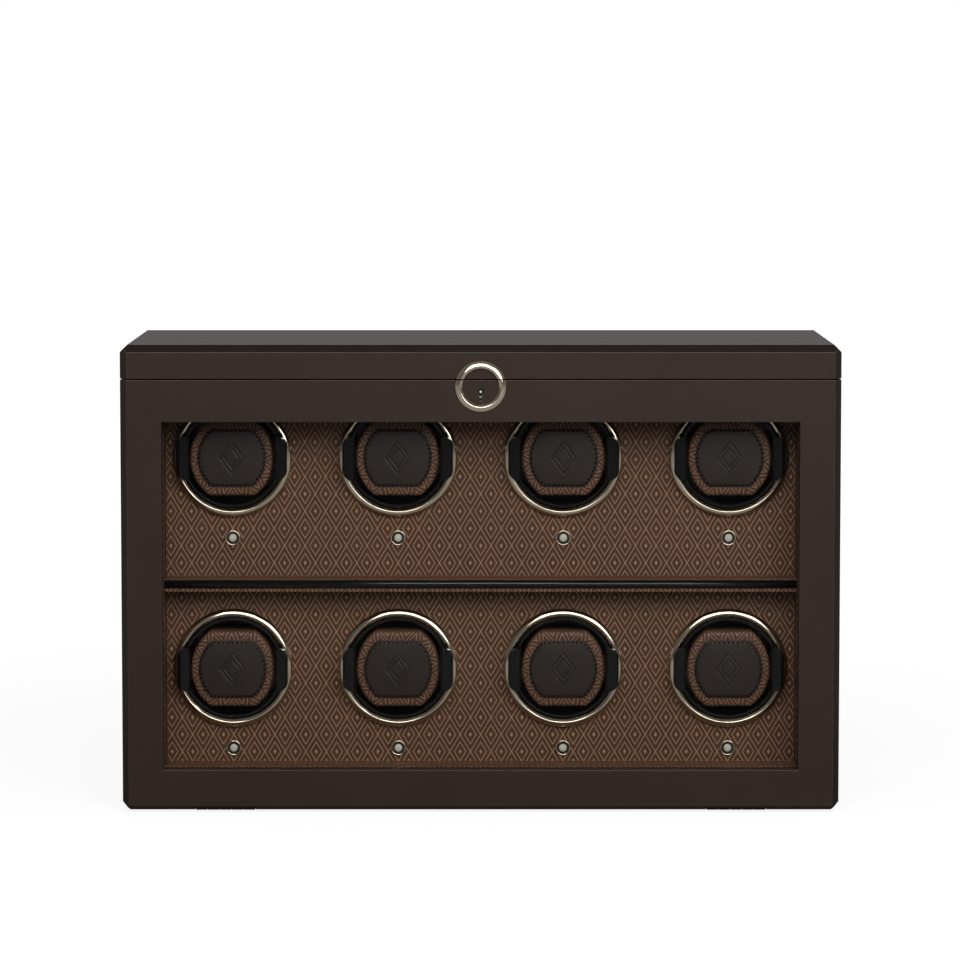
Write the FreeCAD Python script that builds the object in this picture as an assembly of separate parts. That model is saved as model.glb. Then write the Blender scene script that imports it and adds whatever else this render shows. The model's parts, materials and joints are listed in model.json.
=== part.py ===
import FreeCAD, Part
import math
import os
from FreeCAD import Vector as V

# A table-top watch winder box: a leather-covered case with a rear-hinged lid and a glazed front that
# drops forward, and inside it two rows of motor-turned drums, each holding one watch cuff.
# Millimetres. X runs left to right, Y front to back, Z up from the surface that the box stands on.

# Case boards, all covered in leather
CASE_W = 533.0
CASE_D = 210.0
CASE_H = 348.5
SIDE_T = 14.0
BASE_T = 12.0
BACK_T = 12.0
DECK_T = 10.0
DECK_DROP = 4.0
LID_H = 25.0
DOOR_T = 20.0
SEAM = 1.0
DOOR_GAP = 0.5
DOOR_LIFT = 0.2
TOP_EDGE = 5.5
POST_EDGE = 5.0
FOOT_EDGE = 6.0
TOE_EDGE = 3.0
PAD_T = 2.0
PAD_INSET = 9.0
# Recess and lining under the lid
LID_RIM = 24.0
LID_RECESS = 8.0
LINING_T = 5.0
LINING_FIT = 0.4
# Window in the drop front, between its stiles and rails
STILE_W = 30.5
TOP_RAIL = 31.0
FOOT_RAIL = 30.0
WIN_LAND = 5.5
GLASS_T = 3.0
GLASS_LAP = 5.0
GLASS_FIT = 0.3
SLIP_T = 8.0
# Module panels, the drums' places behind the window, and the shelf between the rows
PANEL_BACK = 47.0
PANEL_T = 8.0
DRUM_SIDE = 50.0
DRUM_OVER = 29.5
DRUM_UNDER = 71.0
SHELF_T = 9.4
SHELF_PLACE = 0.4
SHELF_SET = 2.5
BEAD_R = 3.25
BEAD_PROUD = 2.2
BEAD_RISE = 0.8
GLUE = 0.05
# Trim ring round each drum
RING_R = 44.75
RING_CROWN_R = 40.4
RING_BORE_R = 38.8
RING_PROUD = 5.5
RING_EDGE = 3.0
RING_LIP = 1.5
RING_SPIGOT = 6.0
SPIGOT_T = 1.4
SPIGOT_FIT = 0.1
# Winding drum: a cup with two moulded cheeks that grip the cuff
DRUM_R = 38.0
DRUM_WALL = 2.0
DRUM_RIM = 4.4
DRUM_DEPTH = 52.0
DRUM_FLOOR = 3.0
HUB_R = 9.0
HUB_L = 3.0
SHAFT_R = 4.0
CHEEK_REACH = 41.4
CHEEK_H = 32.0
CHEEK_CORNER = 7.0
CHEEK_PROUD = 17.0
CHEEK_NOSE = 3.4
CHEEK_OVER = 1.0
CHEEK_ROOT = 36.0
# Watch cuff
CUFF_W = 62.7
CUFF_H = 56.7
CUFF_FLAT = 34.0
CUFF_PROUD = 9.5
CUFF_DEPTH = 44.0
CUFF_FIT = 0.35
CUFF_ROUND = 3.0
PILLOW_W = 51.0
PILLOW_H = 43.0
PILLOW_FLAT = 31.4
PILLOW_T = 3.0
# Setting button under each ring
BUTTON_DROP = 61.0
BEZEL_R = 6.0
BEZEL_BAND = 1.5
BEZEL_PROUD = 1.8
BEZEL_FLOOR = 0.5
BUTTON_R = 2.8
BUTTON_PROUD = 2.2
BUTTON_DOME = 0.5
BUTTON_FIT = 0.1
COLLAR_R = 4.6
COLLAR_T = 2.0
# Drive behind the panels
BOARD_T = 9.0
BUSH_R = 7.0
BUSH_FLANGE_R = 10.0
BUSH_FLANGE_T = 2.0
RUN_FIT = 0.05
RUN_GAP = 0.3
SHAFT_IN = 12.0
GEAR_W = 46.0
GEAR_H = 38.0
GEAR_D = 20.0
GEAR_CORNER = 6.0
CAN_R = 14.0
CAN_L = 30.0
CAN_RISE = 5.0
CIRCUIT_W = 150.0
CIRCUIT_H = 44.0
CIRCUIT_T = 1.6
CHIP_W = 22.0
CHIP_T = 4.0
# Power inlet in the back
INLET_SIDE = 66.5
INLET_Z = 40.0
INLET_R = 5.5
INLET_FLANGE_R = 9.0
INLET_FLANGE_T = 1.5
INLET_BORE_R = 2.9
INLET_PIN_R = 1.0
INLET_IN = 14.0
# Hinges: two on the lid, two under the drop front
LID_HINGE_SIDE = 96.5
LID_HINGE_L = 60.0
LID_HINGE_BACK = 1.4
LID_LEAF = 12.0
LID_LEAF_T = 1.2
LID_BARREL_R = 2.0
DOOR_HINGE_SIDE = 76.5
DOOR_HINGE_L = 44.0
DOOR_AXIS_IN = 2.8
DOOR_AXIS_UP = 1.75
DOOR_LEAF_T = 1.5
DOOR_LEAF_GAP = 0.15
DOOR_LEAF = 16.0
DOOR_LEAF_TAIL = 16.0
DOOR_BARREL_R = 1.75
PIN_R = 0.9
PIN_FIT = 0.05
KNUCKLES = 5
KNUCKLE_GAP = 0.4
BARREL_GAP = 0.35
# Lock across the seam
LOCK_RING_R = 19.0
LOCK_RING_BORE = 13.5
LOCK_RING_CROWN_R = 15.2
LOCK_RING_PROUD = 2.7
LOCK_RING_LIP = 1.2
LOCK_RING_LOW = 4.8
LOCK_LOW = 8.6
KEY_SKIN = 2.0
KEY_R = 2.3
KEY_DROP = 6.6
KEY_NECK = 1.5
KEY_FOOT = 2.3
KEY_DEEP = 3.0
KEY_PIN_R = 0.8
KEY_PIN_BACK = 0.8
PLUG_R = 4.4
PLUG_FIT = 0.1
SPINDLE_R = 2.0
LOCK_W = 28.0
LOCK_LOW_EDGE = 20.0
LOCK_TOP = 1.0
LOCK_IN = 7.0
LOCK_REAR = 1.5
LOCK_WALL = 1.6
HOOK_IN_R = 4.8
HOOK_OUT_R = 7.0
HOOK_T = 2.4
HOOK_START = 118.0
HOOK_SWEEP = 100.0
HOOK_GAP = 0.5
STAPLE_T = 2.0
STAPLE_W = 7.0
STAPLE_PLATE = 16.0
STAPLE_PLATE_T = 1.6
STAPLE_FIT = 0.6

# Places that several pieces share
HALF_W = CASE_W / 2
FRONT = -CASE_D / 2
REAR = CASE_D / 2
UNDER = PAD_T
LID_Z = CASE_H - LID_H
DOOR_TOP = LID_Z - SEAM
DOOR_REAR = FRONT + DOOR_T
CASE_FRONT = DOOR_REAR + DOOR_GAP
IN_X = HALF_W - SIDE_T
FLOOR_Z = UNDER + BASE_T
BACK_Y = REAR - BACK_T
DECK_TOP = LID_Z - DECK_DROP
DECK_LOW = DECK_TOP - DECK_T
PANEL_Y = FRONT + PANEL_BACK
PANEL_REAR = PANEL_Y + PANEL_T
LID_HINGE_X = HALF_W - LID_HINGE_SIDE
DOOR_HINGE_X = HALF_W - DOOR_HINGE_SIDE
INLET_X = HALF_W - INLET_SIDE
WIN_W = CASE_W - 2 * STILE_W
WIN_Z = UNDER + FOOT_RAIL
WIN_H = DOOR_TOP - TOP_RAIL - WIN_Z
COL_PITCH = (WIN_W - 2 * DRUM_SIDE) / 3
LOW_ROW_Z = WIN_Z + DRUM_UNDER
ROW_PITCH = WIN_H - DRUM_UNDER - DRUM_OVER
SHELF_ROOM = ROW_PITCH - RING_R - BUTTON_DROP - BEZEL_R - SHELF_T
SHELF_LOW = LOW_ROW_Z + RING_R + SHELF_PLACE * SHELF_ROOM
SHELF_TOP = SHELF_LOW + SHELF_T
SHELF_FRONT = CASE_FRONT + SHELF_SET
DRUM_BACK = PANEL_Y + DRUM_DEPTH
HUB_BACK = DRUM_BACK + HUB_L
BOARD_Y = HUB_BACK + RUN_GAP + BUSH_FLANGE_T
BOARD_REAR = BOARD_Y + BOARD_T
SHAFT_END = BOARD_REAR + SHAFT_IN
COLUMNS = [COL_PITCH * (i - 1.5) for i in range(4)]
ROWS = [LOW_ROW_Z + ROW_PITCH, LOW_ROW_Z]
PLACES = [(x, z) for z in ROWS for x in COLUMNS]
WIN_X = WIN_W / 2
WIN_TOP = WIN_Z + WIN_H
GLASS_Y = FRONT + WIN_LAND
SLIP_Y = GLASS_Y + GLASS_T
LOCK_Z = DOOR_TOP - LOCK_LOW
LOCK_FRONT = FRONT + LOCK_IN
LOCK_BACK = DOOR_REAR - LOCK_REAR
HOOK_Y = (LOCK_FRONT + LOCK_WALL + LOCK_BACK) / 2 - HOOK_T / 2
OVER = 1.0


def box(x0, x1, y0, y1, z0, z1):
    return Part.makeBox(x1 - x0, y1 - y0, z1 - z0, V(x0, y0, z0))


def rod(r, y0, y1, x=0.0, z=0.0):
    """A round bar along Y."""
    return Part.makeCylinder(r, y1 - y0, V(x, y0, z), V(0, 1, 0))


def bar(r, x0, x1, y, z):
    """A round bar along X."""
    return Part.makeCylinder(r, x1 - x0, V(x0, y, z), V(1, 0, 0))


def prism(points, way):
    """A polygon of (x, y, z) points pushed along a vector."""
    ring = [V(*p) for p in points]
    face = Part.Face(Part.makePolygon(ring + ring[:1]))
    return face.extrude(V(*way))


def turned(edges):
    """A closed profile in (radius, y) turned round the Y axis."""
    return Part.Face(Part.Wire(edges)).revolve(V(0, 0, 0), V(0, 1, 0), 360)


def line(a, b):
    return Part.LineSegment(V(a[0], a[1], 0), V(b[0], b[1], 0)).toShape()


def arc(a, b, c):
    return Part.Arc(V(a[0], a[1], 0), V(b[0], b[1], 0), V(c[0], c[1], 0)).toShape()


def at(shape, place):
    """A copy moved to a module's (x, z) place."""
    copy = shape.copy()
    copy.translate(V(place[0], 0, place[1]))
    return copy


def save(name, *shapes):
    whole = shapes[0] if len(shapes) == 1 else Part.makeCompound(list(shapes))
    whole.exportStep("parts/" + name + ".step")


def envelope():
    """The outer form of the closed box: three chamfered outlines, one along each axis, in common."""
    x, y0, y1 = HALF_W, FRONT, REAR
    plan = [(x - POST_EDGE, y0), (x, y0 + POST_EDGE), (x, y1 - POST_EDGE), (x - POST_EDGE, y1),
            (POST_EDGE - x, y1), (-x, y1 - POST_EDGE), (-x, y0 + POST_EDGE), (POST_EDGE - x, y0)]
    face = [(x - FOOT_EDGE, UNDER), (x, UNDER + FOOT_EDGE), (x, CASE_H - TOP_EDGE), (x - TOP_EDGE, CASE_H),
            (TOP_EDGE - x, CASE_H), (-x, CASE_H - TOP_EDGE), (-x, UNDER + FOOT_EDGE), (FOOT_EDGE - x, UNDER)]
    flank = [(y0 + TOE_EDGE, UNDER), (y0, UNDER + TOE_EDGE), (y0, CASE_H - TOP_EDGE), (y0 + TOP_EDGE, CASE_H),
             (y1 - TOP_EDGE, CASE_H), (y1, CASE_H - TOP_EDGE), (y1, UNDER + TOE_EDGE), (y1 - TOE_EDGE, UNDER)]
    up = prism([(p[0], p[1], UNDER) for p in plan], (0, 0, CASE_H - UNDER))
    through = prism([(p[0], y0, p[1]) for p in face], (0, CASE_D, 0))
    across = prism([(-x, p[0], p[1]) for p in flank], (CASE_W, 0, 0))
    return up.common(through).common(across)


def butt_hinge(x, length, ay, az, side, lower_reach, upper_reach, leaf_t, leaf_gap, barrel_r):
    """Two leaves and a pin round an axis along X; the leaves lie flat, one over the other.

    The lower leaf has the odd knuckles and the upper leaf the even ones, and each leaf is notched
    round the other's knuckles.
    """
    x0 = x - length / 2
    pitch = length / KNUCKLES
    leaves = []
    for turn, reach in ((0, lower_reach), (1, upper_reach)):
        low = az - leaf_gap - leaf_t if turn == 0 else az + leaf_gap
        near, far = sorted((ay, ay + side * reach))
        leaf = box(x0, x0 + length, near, far, low, low + leaf_t)
        for k in range(KNUCKLES):
            a = x0 + k * pitch
            if k % 2 == turn:
                leaf = leaf.fuse(bar(barrel_r, a + KNUCKLE_GAP / 2, a + pitch - KNUCKLE_GAP / 2, ay, az))
            else:
                y0, y1 = sorted((ay - side * barrel_r, ay + side * (barrel_r + BARREL_GAP)))
                leaf = leaf.cut(box(a - KNUCKLE_GAP / 2, a + pitch + KNUCKLE_GAP / 2, y0, y1,
                                    az - 2 * barrel_r, az + 2 * barrel_r))
        leaves.append(leaf.cut(bar(PIN_R + PIN_FIT, x0 - OVER, x0 + length + OVER, ay, az)).removeSplitter())
    pin = bar(PIN_R, x0, x0 + length, ay, az)
    return leaves[0], leaves[1], pin


def outline(width, height, flat, y, shrink):
    """A cuff outline in a plane across Y: flat top and bottom, and one arc at each side."""
    w, h, f = width / 2 - shrink, height / 2 - shrink, flat / 2
    f = f - shrink * f / (width / 2)
    top = Part.LineSegment(V(-f, y, h), V(f, y, h)).toShape()
    right = Part.Arc(V(f, y, h), V(w, y, 0), V(f, y, -h)).toShape()
    low = Part.LineSegment(V(f, y, -h), V(-f, y, -h)).toShape()
    left = Part.Arc(V(-f, y, -h), V(-w, y, 0), V(-f, y, h)).toShape()
    return Part.Wire([top, right, low, left])


os.makedirs("parts", exist_ok=True)
skin = envelope()

# Hinge axes and leaves
lid_axis_y = REAR + LID_HINGE_BACK
lid_hinges = [butt_hinge(s * LID_HINGE_X, LID_HINGE_L, lid_axis_y, LID_Z, -1, LID_LEAF, LID_LEAF,
                         LID_LEAF_T, 0.0, LID_BARREL_R) for s in (-1, 1)]
door_axis_y = FRONT + DOOR_AXIS_IN
door_axis_z = UNDER + DOOR_AXIS_UP
door_tail = CASE_FRONT + DOOR_LEAF_TAIL
door_hinges = [butt_hinge(s * DOOR_HINGE_X, DOOR_HINGE_L, door_axis_y, door_axis_z, 1,
                          door_tail - door_axis_y, DOOR_LEAF, DOOR_LEAF_T, DOOR_LEAF_GAP,
                          DOOR_BARREL_R) for s in (-1, 1)]
save("lid_hinge_case_leaves", *[h[0] for h in lid_hinges])
save("lid_hinge_lid_leaves", *[h[1] for h in lid_hinges])
save("lid_hinge_pins", *[h[2] for h in lid_hinges])
save("door_hinge_case_leaves", *[h[0] for h in door_hinges])
save("door_hinge_door_leaves", *[h[1] for h in door_hinges])
save("door_hinge_pins", *[h[2] for h in door_hinges])


def lid_mortise(low, high):
    """Room for the lid hinges' leaves between two heights, with relief round the barrels."""
    room = None
    for s in (-1, 1):
        x0 = s * LID_HINGE_X - LID_HINGE_L / 2
        x1 = x0 + LID_HINGE_L
        cut = box(x0, x1, lid_axis_y - LID_LEAF, REAR + OVER, low, high)
        cut = cut.fuse(bar(LID_BARREL_R + BARREL_GAP, x0, x1, lid_axis_y, LID_Z))
        room = cut if room is None else room.fuse(cut)
    return room


# Case: two sides, a base, a back and a deck under the lid, all butted, with a felt sheet below
base_x = HALF_W - PAD_INSET
save("base_pad", box(-base_x, base_x, CASE_FRONT + PAD_INSET / 2, REAR - PAD_INSET, 0, PAD_T))
side = box(IN_X, HALF_W, CASE_FRONT, REAR, UNDER, LID_Z).common(skin)
save("right_side", side)
save("left_side", side.mirror(V(0, 0, 0), V(1, 0, 0)))
base = box(-IN_X, IN_X, CASE_FRONT, REAR, UNDER, FLOOR_Z).common(skin)
for s in (-1, 1):
    x0 = s * DOOR_HINGE_X - DOOR_HINGE_L / 2
    base = base.cut(box(x0, x0 + DOOR_HINGE_L, CASE_FRONT - OVER, door_tail, UNDER - OVER,
                        door_axis_z - DOOR_LEAF_GAP))
save("base_board", base)
back = box(-IN_X, IN_X, BACK_Y, REAR, FLOOR_Z, LID_Z).common(skin)
back = back.cut(lid_mortise(LID_Z - LID_LEAF_T, LID_Z + OVER))
back = back.cut(rod(INLET_R, BACK_Y - OVER, REAR + OVER, INLET_X, INLET_Z))
save("back_panel", back)
save("top_deck", box(-IN_X, IN_X, CASE_FRONT, BACK_Y, DECK_LOW, DECK_TOP))

# Power inlet: a flanged socket with its contact pin
inlet = rod(INLET_R, REAR - INLET_IN, REAR, INLET_X, INLET_Z)
inlet = inlet.fuse(rod(INLET_FLANGE_R, REAR, REAR + INLET_FLANGE_T, INLET_X, INLET_Z))
inlet = inlet.cut(rod(INLET_BORE_R, REAR - INLET_IN + INLET_FLANGE_T, REAR + INLET_FLANGE_T + OVER,
                      INLET_X, INLET_Z))
inlet = inlet.fuse(rod(INLET_PIN_R, REAR - INLET_IN + INLET_FLANGE_T / 2, REAR, INLET_X, INLET_Z))
save("power_inlet", inlet.removeSplitter())

# Module panels above and below the shelf, bored for the rings and the buttons
panel_low = box(-IN_X, IN_X, PANEL_Y, PANEL_REAR, FLOOR_Z, SHELF_LOW)
panel_up = box(-IN_X, IN_X, PANEL_Y, PANEL_REAR, SHELF_TOP, DECK_LOW)
bore_r = RING_BORE_R + SPIGOT_T + SPIGOT_FIT
for place in PLACES:
    hole = rod(bore_r, PANEL_Y - OVER, PANEL_REAR + OVER, place[0], place[1])
    hole = hole.fuse(rod(BUTTON_R + BUTTON_FIT, PANEL_Y - OVER, PANEL_REAR + OVER, place[0],
                         place[1] - BUTTON_DROP))
    panel_low = panel_low.cut(hole)
    panel_up = panel_up.cut(hole)
save("lower_panel", panel_low)
save("upper_panel", panel_up)

# Liners between the front and the panels, level with the window's sides and foot
reveal = box(WIN_X, IN_X, CASE_FRONT, PANEL_Y, FLOOR_Z, DECK_LOW)
save("bay_liners", reveal, reveal.mirror(V(0, 0, 0), V(1, 0, 0)),
     box(-WIN_X, WIN_X, CASE_FRONT, PANEL_Y, FLOOR_Z, WIN_Z))

# Shelf between the rows, held between the panels and the liners, with a round bead let into its front edge
bead_y = SHELF_FRONT - BEAD_PROUD + BEAD_R
bead_z = SHELF_LOW + SHELF_T / 2 + BEAD_RISE
shelf = box(-IN_X, IN_X, PANEL_Y, PANEL_REAR, SHELF_LOW, SHELF_TOP)
shelf = shelf.fuse(box(-WIN_X, WIN_X, SHELF_FRONT, PANEL_Y, SHELF_LOW, SHELF_TOP)).removeSplitter()
shelf = shelf.cut(bar(BEAD_R + GLUE, -HALF_W, HALF_W, bead_y, bead_z))
save("divider_shelf", shelf)
save("divider_bead", bar(BEAD_R, -WIN_X, WIN_X, bead_y, bead_z))

# Trim ring: a band that leaves its crown level and rounds off to a low outer wall, with a lip that falls to
# the bore and a spigot behind
crown = PANEL_Y - RING_PROUD
lip = crown + RING_LIP
spigot_r = RING_BORE_R + SPIGOT_T
band_w, band_drop = RING_R - RING_CROWN_R, RING_PROUD - RING_EDGE
sweep_r = (band_w ** 2 + band_drop ** 2) / (2 * band_drop)
sweep = math.atan2(band_w, sweep_r - band_drop) / 2
sweep_mid = (RING_CROWN_R + sweep_r * math.sin(sweep), crown + sweep_r * (1 - math.cos(sweep)))
ring = turned([
    line((RING_BORE_R, PANEL_Y + RING_SPIGOT), (RING_BORE_R, lip)),
    line((RING_BORE_R, lip), (RING_CROWN_R, crown)),
    arc((RING_CROWN_R, crown), sweep_mid, (RING_R, PANEL_Y - RING_EDGE)),
    line((RING_R, PANEL_Y - RING_EDGE), (RING_R, PANEL_Y)),
    line((RING_R, PANEL_Y), (spigot_r, PANEL_Y)),
    line((spigot_r, PANEL_Y), (spigot_r, PANEL_Y + RING_SPIGOT)),
    line((spigot_r, PANEL_Y + RING_SPIGOT), (RING_BORE_R, PANEL_Y + RING_SPIGOT))])
save("trim_rings", *[at(ring, p) for p in PLACES])

# Drum: a cup on a shaft, with two cheeks moulded inside its wall that come forward over the trim ring
cup = turned([
    line((0, DRUM_BACK), (DRUM_R, DRUM_BACK)),
    line((DRUM_R, DRUM_BACK), (DRUM_R, PANEL_Y - DRUM_RIM)),
    line((DRUM_R, PANEL_Y - DRUM_RIM), (DRUM_R - DRUM_WALL, PANEL_Y - DRUM_RIM)),
    line((DRUM_R - DRUM_WALL, PANEL_Y - DRUM_RIM), (DRUM_R - DRUM_WALL, DRUM_BACK - DRUM_FLOOR)),
    line((DRUM_R - DRUM_WALL, DRUM_BACK - DRUM_FLOOR), (0, DRUM_BACK - DRUM_FLOOR)),
    line((0, DRUM_BACK - DRUM_FLOOR), (0, DRUM_BACK))])
cup = cup.fuse(rod(HUB_R, DRUM_BACK, HUB_BACK)).fuse(rod(SHAFT_R, HUB_BACK, SHAFT_END))
cheek_in = CUFF_W / 2 + CUFF_FIT
cheek_low = -CHEEK_H / 2
nose_y = PANEL_Y - CHEEK_PROUD
over_y = PANEL_Y - RING_PROUD - CHEEK_OVER
nose_mid = (cheek_in + CHEEK_REACH) / 2
soft = CHEEK_NOSE * (1 - math.sqrt(0.5))
wing = Part.Wire([
    line((cheek_in, over_y), (cheek_in, nose_y + CHEEK_NOSE)),
    arc((cheek_in, nose_y + CHEEK_NOSE), (cheek_in + soft, nose_y + soft), (cheek_in + CHEEK_NOSE, nose_y)),
    line((cheek_in + CHEEK_NOSE, nose_y), (CHEEK_REACH - CHEEK_NOSE, nose_y)),
    arc((CHEEK_REACH - CHEEK_NOSE, nose_y), (CHEEK_REACH - soft, nose_y + soft),
        (CHEEK_REACH, nose_y + CHEEK_NOSE)),
    line((CHEEK_REACH, nose_y + CHEEK_NOSE), (CHEEK_REACH, over_y)),
    line((CHEEK_REACH, over_y), (cheek_in, over_y))])
wing = Part.Face(wing).extrude(V(0, 0, CHEEK_H))
wing.translate(V(0, 0, cheek_low))
tall, reach, corner = CHEEK_H / 2, CHEEK_REACH, CHEEK_CORNER
turn = corner * math.sqrt(0.5)
tongue = [
    Part.LineSegment(V(0, over_y, -tall), V(reach - corner, over_y, -tall)).toShape(),
    Part.Arc(V(reach - corner, over_y, -tall), V(reach - corner + turn, over_y, corner - tall - turn),
             V(reach, over_y, corner - tall)).toShape(),
    Part.LineSegment(V(reach, over_y, corner - tall), V(reach, over_y, tall - corner)).toShape(),
    Part.Arc(V(reach, over_y, tall - corner), V(reach - corner + turn, over_y, tall - corner + turn),
             V(reach - corner, over_y, tall)).toShape(),
    Part.LineSegment(V(reach - corner, over_y, tall), V(0, over_y, tall)).toShape(),
    Part.LineSegment(V(0, over_y, tall), V(0, over_y, -tall)).toShape()]
wing = wing.common(Part.Face(Part.Wire(tongue)).extrude(V(0, nose_y - over_y, 0)))
root = box(cheek_in, DRUM_R, over_y, PANEL_Y + CHEEK_ROOT, cheek_low, -cheek_low)
root = root.common(rod(DRUM_R, over_y, PANEL_Y + CHEEK_ROOT))
cheek = wing.fuse(root)
drum = cup.fuse(cheek).fuse(cheek.mirror(V(0, 0, 0), V(1, 0, 0))).removeSplitter()

# Cuff: a wrapped block with a rounded front, and a crowned pillow sewn to its face
cuff_front = PANEL_Y - CUFF_PROUD
cuff_back = cuff_front + CUFF_DEPTH
steps = [(cuff_front, CUFF_ROUND), (cuff_front + CUFF_ROUND * 0.13, CUFF_ROUND * 0.5),
         (cuff_front + CUFF_ROUND * 0.5, CUFF_ROUND * 0.13), (cuff_front + CUFF_ROUND, 0.0),
         (cuff_back - 3 * CUFF_ROUND, 0.0), (cuff_back - CUFF_ROUND, CUFF_ROUND),
         (cuff_back, 3 * CUFF_ROUND)]
block = Part.makeLoft([outline(CUFF_W, CUFF_H, CUFF_FLAT, y, s) for y, s in steps], True, True)
rise = [(0.0, 0.8), (0.3, 0.0), (0.6, 0.5), (0.85, 2.0), (0.95, 4.0), (1.0, 7.5)]
pillow = Part.makeLoft([outline(PILLOW_W, PILLOW_H, PILLOW_FLAT, cuff_front - h * PILLOW_T, s)
                        for h, s in rise], True, True)

# Setting button and its bezel: a domed button that slides in the panel, held by a collar behind it, and
# a bezel with a raised band round a sunk floor
shank_r = BUTTON_R + BUTTON_FIT
floor_y = PANEL_Y - BEZEL_FLOOR
band_y = PANEL_Y - BEZEL_PROUD
band_r = BEZEL_R - BEZEL_BAND
bezel = turned([
    line((shank_r, PANEL_Y), (shank_r, floor_y)),
    line((shank_r, floor_y), (band_r, floor_y)),
    line((band_r, floor_y), (band_r + BEZEL_BAND * 0.2, band_y)),
    line((band_r + BEZEL_BAND * 0.2, band_y), (BEZEL_R - BEZEL_BAND * 0.4, band_y)),
    line((BEZEL_R - BEZEL_BAND * 0.4, band_y), (BEZEL_R, floor_y)),
    line((BEZEL_R, floor_y), (BEZEL_R, PANEL_Y)),
    line((BEZEL_R, PANEL_Y), (shank_r, PANEL_Y))])
dome_y = PANEL_Y - BUTTON_PROUD
rim_y = dome_y + BUTTON_DOME
ball_r = (BUTTON_R ** 2 + BUTTON_DOME ** 2) / (2 * BUTTON_DOME)
half = math.asin(BUTTON_R / ball_r) / 2
button = turned([
    arc((0, dome_y), (ball_r * math.sin(half), dome_y + ball_r * (1 - math.cos(half))), (BUTTON_R, rim_y)),
    line((BUTTON_R, rim_y), (BUTTON_R, PANEL_REAR)),
    line((BUTTON_R, PANEL_REAR), (COLLAR_R, PANEL_REAR)),
    line((COLLAR_R, PANEL_REAR), (COLLAR_R, PANEL_REAR + COLLAR_T)),
    line((COLLAR_R, PANEL_REAR + COLLAR_T), (0, PANEL_REAR + COLLAR_T)),
    line((0, PANEL_REAR + COLLAR_T), (0, dome_y))])
seats = [(p[0], p[1] - BUTTON_DROP) for p in PLACES]
save("button_bezels", *[at(bezel, p) for p in seats])
for k in range(len(PLACES)):
    save("winding_drum_%d" % (k + 1), at(drum, PLACES[k]))
    save("watch_cuff_%d" % (k + 1), at(block, PLACES[k]), at(pillow, PLACES[k]))
    save("setting_button_%d" % (k + 1), at(button, seats[k]))

# Drive: a board across the case with a flanged bush and a gear motor for each drum
board = box(-IN_X, IN_X, BOARD_Y, BOARD_REAR, FLOOR_Z, DECK_LOW)
for place in PLACES:
    board = board.cut(rod(BUSH_R, BOARD_Y - OVER, BOARD_REAR + OVER, place[0], place[1]))
save("motor_board", board)
bush = rod(BUSH_R, BOARD_Y, BOARD_REAR).fuse(rod(BUSH_FLANGE_R, BOARD_Y - BUSH_FLANGE_T, BOARD_Y))
bush = bush.cut(rod(SHAFT_R + RUN_FIT, BOARD_Y - BUSH_FLANGE_T - OVER, BOARD_REAR + OVER)).removeSplitter()
save("bearing_bushes", *[at(bush, p) for p in PLACES])
gear = box(-GEAR_W / 2, GEAR_W / 2, BOARD_REAR, BOARD_REAR + GEAR_D, -GEAR_H / 2, GEAR_H / 2)
gear = gear.makeFillet(GEAR_CORNER, [e for e in gear.Edges if abs(e.tangentAt(e.FirstParameter).y) > 0.9])
gear = gear.fuse(rod(CAN_R, BOARD_REAR + GEAR_D, BOARD_REAR + GEAR_D + CAN_L, 0, CAN_RISE))
gear = gear.cut(rod(SHAFT_R + RUN_GAP, BOARD_REAR - OVER, SHAFT_END + RUN_GAP)).removeSplitter()
save("gear_motors", *[at(gear, p) for p in PLACES])
circuit_z = LOW_ROW_Z + ROW_PITCH / 2
circuit = box(-CIRCUIT_W / 2, CIRCUIT_W / 2, BOARD_REAR, BOARD_REAR + CIRCUIT_T,
              circuit_z - CIRCUIT_H / 2, circuit_z + CIRCUIT_H / 2)
chip = box(-CHIP_W / 2, CHIP_W / 2, BOARD_REAR + CIRCUIT_T, BOARD_REAR + CIRCUIT_T + CHIP_T,
           circuit_z - CHIP_W / 2, circuit_z + CHIP_W / 2)
save("control_board", circuit.fuse(chip))

# Drop front: a frame with a square-edged window, a pane in a rebate behind it and a slip that holds the pane
door = box(-HALF_W, HALF_W, FRONT, DOOR_REAR, UNDER + DOOR_LIFT, DOOR_TOP).common(skin)

window = box(-WIN_X, WIN_X, FRONT - OVER, DOOR_REAR + OVER, WIN_Z, WIN_TOP)
rebate = box(-WIN_X - GLASS_LAP, WIN_X + GLASS_LAP, GLASS_Y, DOOR_REAR + OVER, WIN_Z - GLASS_LAP,
             WIN_TOP + GLASS_LAP)
door = door.cut(window).cut(rebate)
for s in (-1, 1):
    x0 = s * DOOR_HINGE_X - DOOR_HINGE_L / 2 - BARREL_GAP
    x1 = s * DOOR_HINGE_X + DOOR_HINGE_L / 2 + BARREL_GAP
    leaf_top = door_axis_z + DOOR_LEAF_GAP + DOOR_LEAF_T
    door = door.cut(box(x0, x1, door_axis_y, DOOR_REAR + OVER, UNDER - OVER, leaf_top))
    door = door.cut(bar(DOOR_BARREL_R + BARREL_GAP, x0, x1, door_axis_y, door_axis_z))
lap = GLASS_LAP - GLASS_FIT
save("door_glass", box(-WIN_X - lap, WIN_X + lap, GLASS_Y, SLIP_Y, WIN_Z - lap, WIN_TOP + lap))
slip = box(-WIN_X - GLASS_LAP, WIN_X + GLASS_LAP, SLIP_Y, SLIP_Y + SLIP_T, WIN_Z - GLASS_LAP,
           WIN_TOP + GLASS_LAP)
save("glass_beads", slip.cut(window))

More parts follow.
